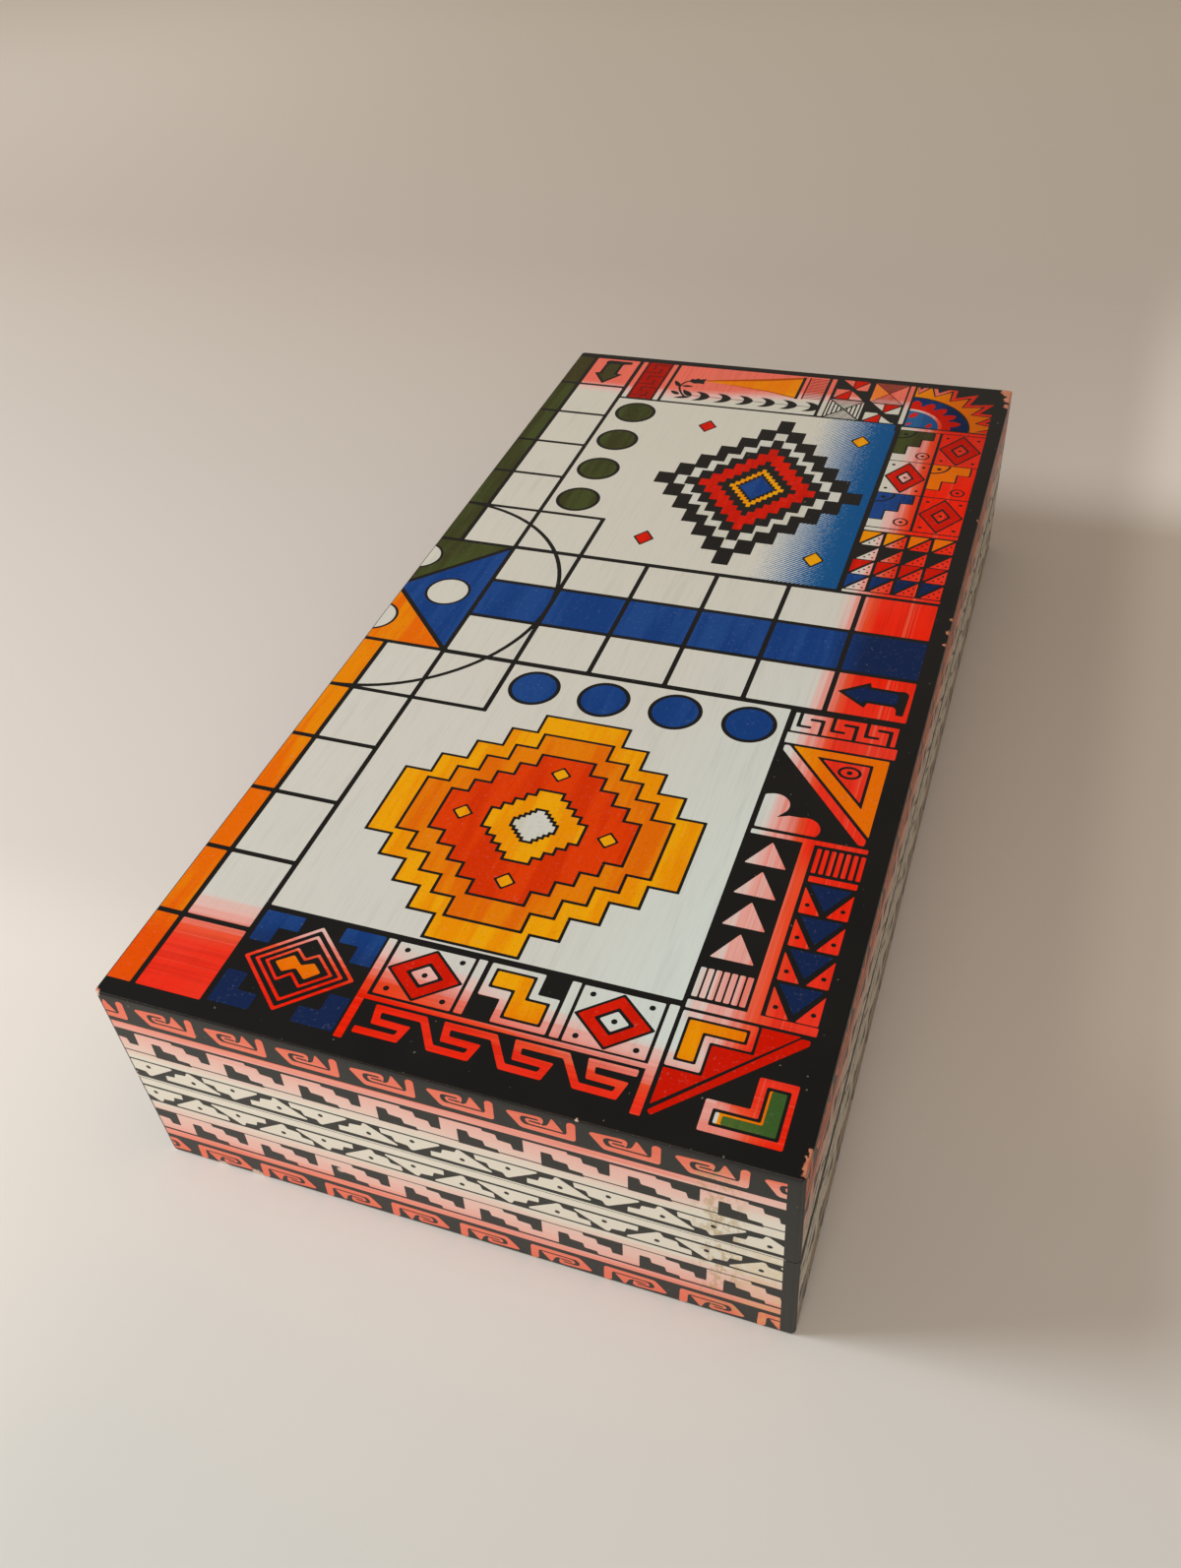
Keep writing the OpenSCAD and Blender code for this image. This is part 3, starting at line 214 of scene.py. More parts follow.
def smooth(points, steps=4):
    """A smooth curve through the points of an open path."""
    ends = [points[0]] + list(points) + [points[-1]]
    curve = []
    for i in range(len(points) - 1):
        a, b, c, d = (Vector(point) for point in ends[i:i + 4])
        for k in range(steps):
            t = k / steps
            curve.append(tuple((2 * b + (c - a) * t + (2 * a - 5 * b + 4 * c - d) * t * t
                                + (3 * b - a - 3 * c + d) * t ** 3) / 2))
    return curve + [points[-1]]


def signed_area(points):
    return sum(a[0] * b[1] - b[0] * a[1] for a, b in zip(points, points[1:] + points[:1])) / 2


# The playing field

def lane(p, ink, low, high):
    for k in range(CELLS):
        x = HALF_CENTRE + k * CELL
        p.rect(ink, x + LINE / 2, low + LINE / 2, x + CELL - LINE / 2, high - LINE / 2)


def arm(p, ink):
    """The arm that points to the right, with one player's lane and triangle."""
    lane(p, ink, -LANE_W / 2, LANE_W / 2)
    for low in (LANE_W / 2, -HALF_CENTRE):
        lane(p, "ground", low, low + LANE_W)
    slant = LINE / math.sqrt(2)
    far = HALF_CENTRE - LINE / 2
    p.add(ink, [(slant, 0), (far, -far + slant), (far, far - slant)])


def home_ground(p, ink, side):
    """The ground of a home square, with the square next to the middle marked off in its corner."""
    near, far = HALF_CENTRE + LINE / 2, HOME - LINE / 2
    far_y = far if side > 0 else far - HOME_LINE
    low, high = sorted((side * (near + HOME_LINE), side * far_y))
    p.rect(ink, near, low, far - HOME_LINE, high)
    corner = HALF_CENTRE + CELL
    p.line("black", [(HALF_CENTRE, side * corner), (corner, side * corner), (corner, side * HALF_CENTRE)],
           LINE)


def centre_spot(p):
    reach, r, edge = 20.2, 7.6, 1
    p.disc("black", reach, 0, r + edge)
    p.disc("ground", reach, 0, r)


def waiting_places(p, ink):
    r, edge, pitch, inset = 9, 1.4, 24.8, 12
    for k in range(4):
        x = HALF_CENTRE + CELL + inset + k * pitch
        p.disc("black", x, -HALF_CENTRE - inset, r)
        p.disc(ink, x, -HALF_CENTRE - inset, r - edge)


def arrow(p, ink):
    """Hooked arrow on the last square of an outer lane, pointing to the middle of the board."""
    edge = 1.4
    with p.at(FIELD - CELL / 2, -LANE_W):
        bend = arc_points((9.2, 3.2), 2.2, 80, -5, 6)
        p.add("black", [(-11.5, 0.7), (-1.7, 7.5), (-1.2, 5.2), (7.7, 5)] + bend
              + [(11.1, -7.3), (8.7, -7.2), (8.4, -4.4), (7.6, -3.4), (-1, -3.3), (-1.7, -6)])
        p.add(ink, [(-9.2, 0.7), (-2.7, 5.2), (-2.2, 5.2 - edge), (7.2, 5.1 - edge), (8.2, 2.6),
                    (8.2, -1.5), (7.2, -2.1), (-2.2, -2), (-2.7, -3.9)])


# Small figures of the ornament

def lozenge_points(x, y, half_w, half_h):
    return [(x - half_w, y), (x, y - half_h), (x + half_w, y), (x, y + half_h)]


def lozenge_tile(p, x0, y0, x1, y1, inner=0.46, dot=0.75):
    """A light tile with a red lozenge, a light one in it and dots in the corners."""
    p.rect("ground", x0, y0, x1, y1)
    x, y, half_w, half_h = (x0 + x1) / 2, (y0 + y1) / 2, (x1 - x0) / 2, (y1 - y0) / 2
    p.outlined("red", lozenge_points(x, y, half_w, half_h), 0.8)
    p.outlined("ground", lozenge_points(x, y, half_w * inner, half_h * inner), 1)
    p.disc("black", x, y, dot)
    for side_x, side_y in CORNERS:
        p.disc("black", x + side_x * half_w * 0.73, y + side_y * half_h * 0.75, dot)


def stepped_tile(p, ink, x0, y0, x1, y1):
    """A light tile with a stepped figure and a quarter ring in one corner and a ringed dot opposite."""
    w, h = x1 - x0, y1 - y0
    ring_r, ring_x, ring_y = 2.9, x0 + 12.2, y1 - 19.8
    p.rect("ground", x0, y0, x1, y1)
    p.add("black", stairs_points(x0, y1, ((0.9, 0.27), (0.62, 0.52), (0.32, 0.79)), w, h))
    p.add(ink, stairs_points(x0, y1, ((0.86, 0.25), (0.58, 0.49), (0.28, 0.765)), w, h))
    p.add("black", arc_points((x0, y1), 7.1, -90, 0, 12) + arc_points((x0, y1), 6.2, 0, -90, 12))
    p.disc("black", x0 + 2.7, y1 - 3, 0.95)
    p.ring("black", ring_x, ring_y, ring_r, 0.75)
    p.disc("black", ring_x, ring_y, 0.8)


def half_tile(p, ink, x0, y0, w, h):
    """A square split along its diagonal: a plain triangle and a light one with four dots."""
    gap, dot_r = 0.8, 0.45
    p.add(ink, [(x0, y0 + gap), (x0, y0 + h), (x0 + w - gap, y0 + h)])
    p.add("ground", [(x0 + gap, y0), (x0 + w, y0), (x0 + w, y0 + h - gap)])
    for left, up in ((1.15, 5.15), (2.6, 3.35), (4.1, 1.55), (1.15, 1.55)):
        p.disc("black", x0 + w - left, y0 + up, dot_r)


def bars(p, x, y0, y1, count, pitch, width):
    """Light bars side by side."""
    for k in range(count):
        p.rect("ground", x + k * pitch, y0, x + k * pitch + width, y1)


# Ornament of the strip along the opening side, back half

def quarter_sun(p):
    """A quarter of a rayed disc, with a toothed ring in it."""
    ray_pitch, first_ray = 14.4, 9.5
    tooth_pitch, first_tooth = 17.3, 5.5

    def rays(ink, tip_r, valley_r):
        points = [(0, 0)]
        for tip in [90 - first_ray - k * ray_pitch for k in range(-1, 7)]:
            for r, angle in ((valley_r, tip + ray_pitch / 2), (tip_r, tip)):
                a = math.radians(min(90, max(0, angle)))
                points.append((r * math.cos(a), r * math.sin(a)))
        p.add(ink, points)

    def sector(ink, r, count):
        p.add(ink, [(0, 0)] + arc_points((0, 0), r, 0, 90, count))

    with p.at(161, 158.8):
        for ink, tip_r, valley_r in (("ground", 42.5, 33.2), ("black", 38.6, 30), ("amber", 36.6, 29)):
            rays(ink, tip_r, valley_r)
        for ink, r in (("black", 26.8), ("blue", 26), ("red", 19)):
            sector(ink, r, 24)
        for k in range(5):
            with p.at(turn=-first_tooth - k * tooth_pitch):
                p.add("red", smooth([(-2.3, 18.5), (-1.9, 21.3), (0, 23.3), (1.9, 21.3), (2.3, 18.5)]))
        sector("ground", 15.4, 20)
        sector("sky", 13.9, 20)
        for x, y, long, turn in ((2.2, 10, 2.7, 60), (9.9, 2, 2, 70), (1.4, 2.2, 1.4, 45)):
            with p.at(x, y, turn):
                p.disc("red", 0, 0, long, long / 2)
        # Nothing of it crosses the border, the strip's edge lines or the corner it starts from
        p.rects("black", (-3.5, -5, 0, 45), (-3.5, -5, 45, 0), (33.9, -5, 50, 50), (-3.5, 35.6, 50, 50))


def tile_columns(p):
    """Three rows of two tiles, stepped figures and lozenges by turns."""
    columns = ((160.3, 176.7), (177.9, 195))
    rows = ((130, 155), (104.7, 129.4), (79, 104))
    inks = ("green", "amber", "blue")
    for row, (y0, y1) in enumerate(rows):
        for column, (x0, x1) in enumerate(columns):
            if (row + column) % 2 == 0:
                stepped_tile(p, inks[row], x0, y0, x1, y1)
            else:
                lozenge_tile(p, x0, y0, x1, y1)


def triangle_grid(p):
    pitch_x, pitch_y = 8.9, 9.84
    for row, ink in enumerate(("amber", "black", "red", "blue")):
        for column in range(4):
            half_tile(p, ink, 160.3 + column * pitch_x, 66 - row * pitch_y, 7.7, 9.2)


def back_side_strip(p):
    quarter_sun(p)
    tile_columns(p)
    triangle_grid(p)
    p.rects("ground", (160.2, 155.6, 195, 157.7), (160.2, 76.2, 195, 78.3), (160.2, 34.4, 195, 35.8))


# Ornament of the strip along the back end

def maze(p):
    """A dark red band with a fret of darker lines."""
    low, high, left, right = 160.4, 194.8, 37.3, 48.8
    pitch, width = 11.1, 0.9
    p.rect("crimson", left, low, right, high)
    for x in (left + 0.45, right - 0.45):
        p.rect("maroon", x - width / 2, low, x + width / 2, high)
    for k in range(3):
        down = k * pitch
        p.line("maroon", [(left, 185.3 - down), (44.9, 185.3 - down), (44.9, 189.3 - down)], width)
        p.line("maroon", [(right, 193.1 - down), (41.3, 193.1 - down), (41.3, 188.7 - down)], width)


def leaf(p, length, width):
    """A pointed leaf that curves away from the stem, from the origin up and to the left."""
    outer = smooth([(0, 0), (-0.14 * length, 0.48 * width), (-0.5 * length, 0.9 * width), (-length, width)])
    inner = smooth([(-length, width), (-0.72 * length, 0.6 * width), (-0.6 * length, 0.3 * width),
                    (-0.56 * length, 0)])
    p.add("black", outer + inner[1:])


def blade(p, base, tip, width):
    """A straight leaf from its base to its tip."""
    base, tip = Vector(base), Vector(tip)
    across = Vector((base.y - tip.y, tip.x - base.x)).normalized() * width / 2
    edges = [[tuple(base.lerp(tip, share) + side * wide * across) for share, wide in
              ((0, 0), (0.2, 0.75), (0.45, 1), (0.75, 0.65), (1, 0))] for side in (1, -1)]
    p.add("black", smooth(edges[0]) + smooth(edges[1])[-2:0:-1])


def vine(p):
    """A stem that runs along the strip with pairs of leaves, and ends in a bud."""
    stem_y = 167.2
    p.line("black", [(62.5, stem_y), (121.8, stem_y)], 0.5)
    for k in range(6):
        for below in (False, True):
            with p.at(73.8 + k * 9.9, stem_y, flip_y=below):
                leaf(p, 7.6, 4.3)
    stem = [(62.6, 165.9), (61.2, 167.2), (59.2, 170.4), (57.8, 174.3), (58.4, 177.4), (60.3, 180.2),
            (63.4, 181.4)]
    p.line("black", smooth(stem), 1)
    for base, tip, width in (((57.7, 174.2), (54.1, 180.1), 2.4), ((58.4, 175.4), (64, 175.7), 2),
                             ((59.6, 167), (54.8, 170.2), 2.6), ((65.4, 166.2), (60.2, 172), 3.2),
                             ((65.4, 166), (57.8, 163.8), 2.2)):
        blade(p, base, tip, width)
    p.add("black", [(60.4, 180), (61.2, 183), (62.8, 182.4), (64, 184), (65, 182.8), (66.4, 183.4),
                    (67.9, 184), (67.5, 181), (68, 178.6), (65.4, 179), (63.4, 178.4)])


def wedge(p):
    """A long amber horn with a darker upper edge, closed by a black line."""
    p.add("umber", [(66.5, 182.2), (94, 189), (111, 193.8), (111, 173.4), (98, 177.2), (82, 179.8)])
    p.add("amber", [(67.5, 181.4), (94, 187), (110.6, 191.8), (110.6, 174.6), (98, 178), (82, 180.3)])
    p.rect("black", 110.4, 173.2, 111.8, 194)


def hatched(p, ink, x0, y0, x1, y1, count, width):
    """Fine lines across a rectangle."""
    for k in range(count):
        y = y0 + (k + 0.5) / count * (y1 - y0)
        p.rect(ink, x0, y - width / 2, x1, y + width / 2)


def pinwheel(p, x0, y0, x1, y1):
    """A square of four quarters split along their diagonals. Opposite quarters are alike."""
    line = 0.5
    half_w, half_h = (x1 - x0) / 2, (y1 - y0) / 2
    slant = line * 1.3
    for turn in (0, 180):
        with p.at((x0 + x1) / 2, (y0 + y1) / 2, turn=turn):
            p.add("ground", [(-half_w + slant, half_h), (-line / 2, half_h), (-line / 2, slant)])
            p.add("red", [(line / 2, slant), (line / 2, half_h), (half_w - slant, half_h)])
            p.add("ground", [(slant, line / 2), (half_w, half_h - slant), (half_w, line / 2)])


def crossed_square(p, x0, y0, x1, y1, warm):
    """A square of four triangles: hatched across above and below, and upright at the sides."""
    ink, rows, row_w, slant_w = ("maroon", 9, 0.35, 0.45) if warm else ("black", 8, 0.5, 0.8)
    column_ink, columns, column_w = ("amber", 5, 0.9) if warm else ("black", 4, 0.7)
    column_share = 0.92
    x, y = (x0 + x1) / 2, (y0 + y1) / 2
    half_w, half_h = x1 - x, y1 - y
    p.rect("ground", x0, y0, x1, y1)
    for side in (-1, 1):
        plain = warm and side > 0
        with p.at(x, y, flip_y=side < 0):
            if plain:
                p.add("russet", [(0, 0), (half_w, half_h), (-half_w, half_h)])
            for share in [(k + 0.6) / rows for k in range(rows)]:
                reach, up = share * half_w, share * half_h
                p.rect(ink, -reach, up - row_w / 2, reach, up + row_w / 2)
        for share in [(k + 0.8) / (columns + 0.4) for k in range(0 if plain else columns)]:
            column_x, reach = x + side * share * half_w, share * half_h * column_share
            p.rect(column_ink, column_x - column_w / 2, y - reach, column_x + column_w / 2, y + reach)
    for way in (-1, 1):
        p.line(ink, [(x0, y - way * half_h), (x1, y + way * half_h)], slant_w)


def weave_block(p):
    """Two pinwheels and two crossed squares, joined by a thick black slash across the middle."""
    pinwheel(p, 126.9, 177.5, 140.3, 194.9)
    pinwheel(p, 142.9, 159.7, 157, 175.8)
    crossed_square(p, 142.9, 176.8, 157.3, 194.9, True)
    crossed_square(p, 126.1, 159.9, 141, 176.3, False)
    p.add("black", [(126.5, 195), (128.5, 195), (136, 186.4), (149, 171), (157.3, 160), (155, 160),
                    (148, 167.4), (143, 174), (135.5, 183), (127, 193.4)])
    p.rect("black", 141, 160, 142.4, 195)


def back_end_strip(p):
    low, high = 160.2, 194.8
    maze(p)
    p.rects("ground", *[(x0, low, x1, high) for x0, x1 in ((34.6, 36.8), (49.2, 51.4), (52.9, 122),
                                                          (123.4, 125.4), (158.1, 160))])
    wedge(p)
    p.rect("maroon", 113.3, 173.5, 114.1, 194)
    hatched(p, "maroon", 114.2, 174, 122, 193.8, 14, 0.5)
    vine(p)
    weave_block(p)


# Ornament of the strip along the opening side, front half

def fret(p):
    """A light band with black hooks that turn it into a meander."""
    low, high, pitch, bar = -45, -35.9, 10.8, 1.25
    p.rect("ground", 160.3, low, 193.4, high)
    for k in range(3):
        with p.at(161.6 + k * pitch, 0):
            p.add("black", [(0, high + 1), (bar, high + 1), (bar, low + 3.4), (4.9, low + 3.4),
                            (4.9, low + 2.2), (0, low + 2.2)])
            p.add("black", [(3.8, high - 1.8), (8.7, high - 1.8), (8.7, low - 1), (8.7 - bar, low - 1),
                            (8.7 - bar, high - 3.1), (3.8, high - 3.1)])


def eyed_triangle(p):
    """A large amber triangle with a smaller light one and an eye in it, and a light stripe along it."""
    p.add("ground", [(160.3, -52.3), (161.9, -52.2), (192.8, -87.7), (192.6, -90), (190.9, -90),
                     (160.3, -54.6)])
    p.add("amber", [(163.2, -52.1), (193.2, -52.1), (193.2, -86.4)])
    p.outlined("ground", [(171.2, -55.2), (188.9, -55.2), (188.9, -75.2)], 1)
    p.ring("black", 182.4, -60.2, 3.7, 1, 2.9)
    p.disc("black", 182.4, -60.2, 0.9)


def lobed_figure(p):
    """A light figure with two round lobes on a flat foot."""
    p.add("ground", [(160, -90), (160, -75.8)] + arc_points((163.4, -79.5), 4.9, 115, -35, 16, 4.6)
          + [(165.5, -84.8), (169, -83.3)] + arc_points((174.4, -87.4), 4.8, 110, -20, 14, 4.5)
          + [(178.4, -90)])


def triangle_stack(p):
    pitch = 12.2
    for k in range(4):
        with p.at(167.1, -95.4 - k * pitch):
            p.add("ground", [(0, 0), (6.1, -9.8), (-6.1, -9.8)])
    bars(p, 159.9, -156, -145.9, 7, 2.16, 1.6)


def blue_stack(p):
    bars(p, 180.1, -104.2, -94.4, 7, 2.13, 1.3)
    p.rect("ground", 180.1, -107.7, 194, -105.5)
    pitch = 12.3
    for k in range(4):
        with p.at(187, -108.7 - k * pitch):
            p.add("blue", [(-5.9, 0), (6, 0), (0, -9.3)])
            for side in (-1, 1):
                p.add("ground", [(side * 6.9, -1.3), (side * 6.9, -11.2), (side * 0.9, -11.2)])
                p.disc("black", side * 5, -7.9, 0.7)


def corner_steps(p):
    """The corner square: a red half with a framed amber angle, and a framed green angle on black."""
    with p.at(157.2, -90.6):
        p.add("red", [(2.4, -70.4), (33.4, -70.4), (2.4, -100.4)])
        p.add("black", stairs_points(1.4, -69.4, ((21.8, 9.9), (11, 19.6))))
        p.add("ground", stairs_points(2.3, -70.4, ((20.1, 8.1), (9.3, 17.8))))
        p.outlined("amber", stairs_points(4, -72.1, ((16.7, 4.7), (5.9, 14.1))), 0.8)
        p.add("red", [(35.9, -71), (36, -72.6), (3.4, -103.4), (2.3, -102.2), (33.6, -71)])
        p.add("ground", stairs_points(36.5, -104, ((21.2, 9.2), (10.1, 18.9)), -1, -1))
        p.outlined("amber", stairs_points(35, -102, ((17.4, 5), (6.2, 14.6)), -1, -1), 0.9)
        p.add("leaf", stairs_points(34.1, -101.1, ((13.7, 2.6), (3.8, 12.8)), -1, -1))
        p.rect("bare", 18.5, -101.1, 19.5, -97.9, INK_CORNER_R)


def front_side_strip(p):
    fret(p)
    p.rects("ground", (159.8, -51, 194.5, -46), (159.7, -93.1, 194.2, -91.3), (175.4, -159, 178.9, -92.5),
            (159.5, -160, 194.2, -157.2))
    eyed_triangle(p)
    lobed_figure(p)
    triangle_stack(p)
    blue_stack(p)
    corner_steps(p)


# Ornament of the strip along the front end

def nested_lozenges(p):
    """Blue steps in the corners round lozenges inside one another and an amber bolt."""
    with p.at(53.8, -177.1):
        for side_x, side_y in CORNERS:
            with p.at(flip_x=side_x > 0, flip_y=side_y > 0):
                p.add("blue", stairs_points(-19.1, 16.9, ((12.6, 5.4), (6.4, 11.3))))
        p.add("black", lozenge_points(0, 0, 18.6, 16.6))
        p.frame("ground", lozenge_points(0, 0, 16.4, 14.5), 1)
        p.frame("ground", lozenge_points(0, 0, 13.1, 11.4), 0.9)
        p.add("amber", [(-7.5, 0.3), (-3.2, 3.75), (0.2, 1), (3.6, 2.6), (6.8, 0), (3.3, -3.3), (-0.7, -0.3),
                        (-4.2, -2.4)])
        p.frame("ground", [(-10, 0), (-3.3, 6), (0.35, 3.1), (3.5, 5.5), (10, 0), (3.1, -5.9), (-1, -2.3),
                           (-4.2, -5.3)], 0.8)


def bolt_tile(p):
    """A light stepped bolt with an amber one in it, on black."""
    p.add("ground", [(105.2, -160.3), (120.9, -160.3), (120.9, -167.3), (127.3, -167.3), (127.3, -179),
                     (111.7, -179), (111.7, -171.4), (105.2, -171.4)])
    p.outlined("amber", [(106.9, -161.7), (119, -161.7), (119, -169.1), (125.3, -169.1), (125.3, -177.2),
                         (113.8, -177.2), (113.8, -168.4), (106.9, -168.4)], 0.85)


def hooked_meander(p):
    """One red ribbon that doubles back in slanted hooks."""
    start, pitch, width, hooks = 81.3, 20.1, 2.1, 4
    path = [(77.8, -191.3)]
    for k in range(hooks):
        x = start + k * pitch
        path += [(x + 8.9, -191.3), (x + 9.9, -187.7), (x + 1.2, -187.5), (x + 0.4, -183.4)]
        if k < hooks - 1:
            path += [(x + 13.6, -183.4), (x + 18.7, -191.2)]
    p.line("ground", path + [(154.2, -183.4)], width)


def front_end_strip(p):
    nested_lozenges(p)
    p.rects("ground", (73.7, -195, 76.2, -160.2), (155.6, -195, 158.3, -160.2), (101.2, -179, 103.7, -160.2),
            (128.4, -179, 131, -160.2))
    lozenge_tile(p, 77.4, -179, 100.2, -160.5, 0.5, 0.85)
    bolt_tile(p)
    lozenge_tile(p, 132, -179.2, 154.6, -160.5, 0.5, 0.85)
    p.rect("ground", 73.7, -181.4, 158, -179.9)
    hooked_meander(p)


# Figures of the two home squares

STEP_R = 0.25


def stepped_lozenge(p, ink, w, h, steps=7):
    """A lozenge whose four edges are flights of steps, as rectangles that cross in its middle."""
    for i in range(steps):
        half_w, half_h = w / 2 * (1 - i / (steps - 0.5)), h / 2 * (i + 0.5) / (steps - 0.5)
        p.rect(ink, -half_w, -half_h, half_w, half_h, STEP_R)


def stepped_cross(p, ink, w, inset=0, steps=4):
    """A cross with a flight of steps in each corner, drawn in by the inset."""
    arm_share = 0.3
    rise = (1 - arm_share) * w / steps
    for i in range(steps + 1):
        half_w, half_h = (arm_share * w + i * rise) / 2 - inset, (w - i * rise) / 2 - inset
        p.rect(ink, -half_w, -half_h, half_w, half_h, STEP_R)


def back_home_figure(p):
    """A stepped lozenge nested in itself, with small lozenges about it."""
    w, h = 84, 112
    with p.at(113.1, 96.6):
        for ink, share in (("black", 1), ("bare", 0.8), ("black", 0.7), ("red", 0.56), ("black", 0.38),
                           ("amber", 0.26), ("black", 0.2), ("blue", 0.16)):
            stepped_lozenge(p, ink, share * w, share * h)
        for side_x, side_y in CORNERS:
            small = lozenge_points(side_x * 33, side_y * 45, 4.2, 5.4)
            p.outlined("amber" if side_x > 0 else "red", small, 0.7)


def front_home_figure(p):
    """A stepped cross in amber and vermilion, nested in itself."""
    w, edge, off = 100, 1, 23.5
    with p.at(96.6, -107.6):
        for ink, share in (("amber", 1), ("orange", 0.82), ("vermilion", 0.63), ("amber", 0.32),
                           ("bare", 0.15)):
            stepped_cross(p, "black", share * w)
            stepped_cross(p, ink, share * w, edge)
        for x, y in ((-off, 0), (off, 0), (0, -off), (0, off)):
            p.outlined("amber", lozenge_points(x, y, 3.6, 3.6), 0.7)


# The whole face of one half

def face_pattern(players):
    """Everything printed on one playing face, for the players at the right, back and front."""
    p = Pattern()
    home_ground(p, "dusk", 1)
    home_ground(p, "ground", -1)
    seats = list(zip(players, (0, 90, -90)))
    for player, turn in seats:
        with p.at(turn=turn):
            arm(p, player)
    p.ring("black", 0, 0, CIRCLE_R + CIRCLE_LINE / 2, CIRCLE_LINE)
    for player, turn in seats:
        with p.at(turn=turn):
            centre_spot(p)
            waiting_places(p, player)
            arrow(p, player)
    for ornament in (back_home_figure, front_home_figure, back_side_strip, back_end_strip,
                     front_side_strip, front_end_strip):
        ornament(p)
    return p


# Ornament of the sides: u runs along a side from its left end, v away from the seam

SIDE_CORNER_R = 0.25

# The rows of each half. plain: from and to. triangles, zigzag and scrolls: the first figure's place and
# the height of its foot, and then the zigzag's height and the scrolls' share of their full height
SIDE_ROWS = {
    "upper": {"plain": ((0, 0.6), (9.75, 13.5), (24.15, 27.25)), "triangles": (11.9, 2.2),
              "zigzag": (7.8, 14.05, 8.95), "scrolls": (12, 29.1, 0.93)},
    "lower": {"plain": ((0, 3.05), (11.75, 15.65), (26.55, 29.4)), "triangles": (14.8, 4.1),
              "zigzag": (-3.4, 16.15, 9.45), "scrolls": (14, 31.3, 0.85)},
}


def repeats(start, pitch, length):
    """The places of a figure that is printed again and again along a side, from before its left end."""
    return [start + k * pitch for k in range(-2, int(length / pitch) + 2)]


def side_triangles(p, start, foot, length):
    """Pairs of light stepped triangles with a dot, one standing and one hanging."""
    pitch, shift, tall = 28.2, 13.6, 6.8
    steps = [(0, 0), (0.2, 2.3), (3.4, 2.6), (4, 4.7), (7.7, 5.1), (8.5, tall), (9.4, tall), (18.1, 0.6),
             (18, 0)]
    for place in repeats(start, pitch, length):
        for x, y, hanging in ((place, foot, False), (place + shift, foot + tall, True)):
            with p.at(x, y, flip_y=hanging):
                p.add("band", steps, r=SIDE_CORNER_R)
                p.disc("black", 9.6, 2.3, 0.78)


def side_zigzag(p, start, foot, height, length):
    """A light band stepped from above and below."""
    pitch, shift = 23.6, 27.7
    steps = [(11.7, 9.9), (12.1, 8.1), (15.7, 7.9), (16.1, 5.7), (19.8, 5.4), (20.2, 3.1), (23.2, 3.1),
             (23.5, 9.9)]
    p.rect("band", 0, foot, length, foot + height, 0)
    for place in repeats(start, pitch, length):
        for x, y, turn in ((place, foot, 0), (place + shift, foot + height, 180)):
            with p.at(x, y, turn):
                p.add("black", steps, r=SIDE_CORNER_R)


def side_scroll(p, tall):
    """A hooked arm that curls in on itself round a small triangle, and an upright at its end."""
    body = [(0, 6.2), (0.6, 7), (8.6, 7.5), (9.7, 7.3), (10.1, 6.3), (9.7, 4.5), (9.1, 3.95), (9.9, 3.7),
            (11, 4.4), (11.8, 6.6), (12.3, 8.1), (12.8, 7.8), (15.1, 3), (15.4, 2.6), (15.9, 2.6),
            (16.1, 3.2), (16.3, 7.6), (16.9, 8.5), (18, 8.7), (18.7, 8), (18.3, 0.7), (17.7, 0),
            (3.7, 0.2), (3, 0.9)]
    pocket = [(3.6, 4.8), (4.1, 5.9), (5.2, 6.2), (8.7, 6.15), (8.7, 5.4), (5.4, 5.25), (5, 4.6),
              (5.3, 3.5), (6, 2.95), (15.7, 2.95), (15.7, 2.2), (4.5, 2.2), (3.8, 3.4)]
    curl = [(6, 4.7), (9.3, 4.75), (9.3, 3.9), (6, 4)]
    for ink, points in (("band", body), ("black", pocket), ("black", curl)):
        p.add(ink, [(u, v * tall) for u, v in points], r=0.6)


def side_pattern(half, length):
    """The rows printed on one side of a half."""
    p = Pattern()
    rows = SIDE_ROWS[half]
    for low, high in rows["plain"]:
        p.rect("band", 0, low, length, high, 0)
    side_triangles(p, *rows["triangles"], length)
    side_zigzag(p, *rows["zigzag"], length)
    start, foot, tall = rows["scrolls"]
    scroll_pitch = 22.1
    for place in repeats(start, scroll_pitch, length):
        with p.at(place, foot):
            side_scroll(p, tall)
    return p


# From flat figures to thin solids of ink

def inside(points, contours):
    """Which points lie in the contours, by the even-odd rule."""
    found = np.zeros(len(points), bool)
    for contour in contours:
        a = np.array(contour)
        b = np.roll(a, -1, axis=0)
        for (ax, ay), (bx, by) in zip(a, b):
            if ay != by:
                crosses = (ay > points[:, 1]) != (by > points[:, 1])
                found ^= crosses & (points[:, 0] < (bx - ax) * (points[:, 1] - ay) / (by - ay) + ax)
    return found


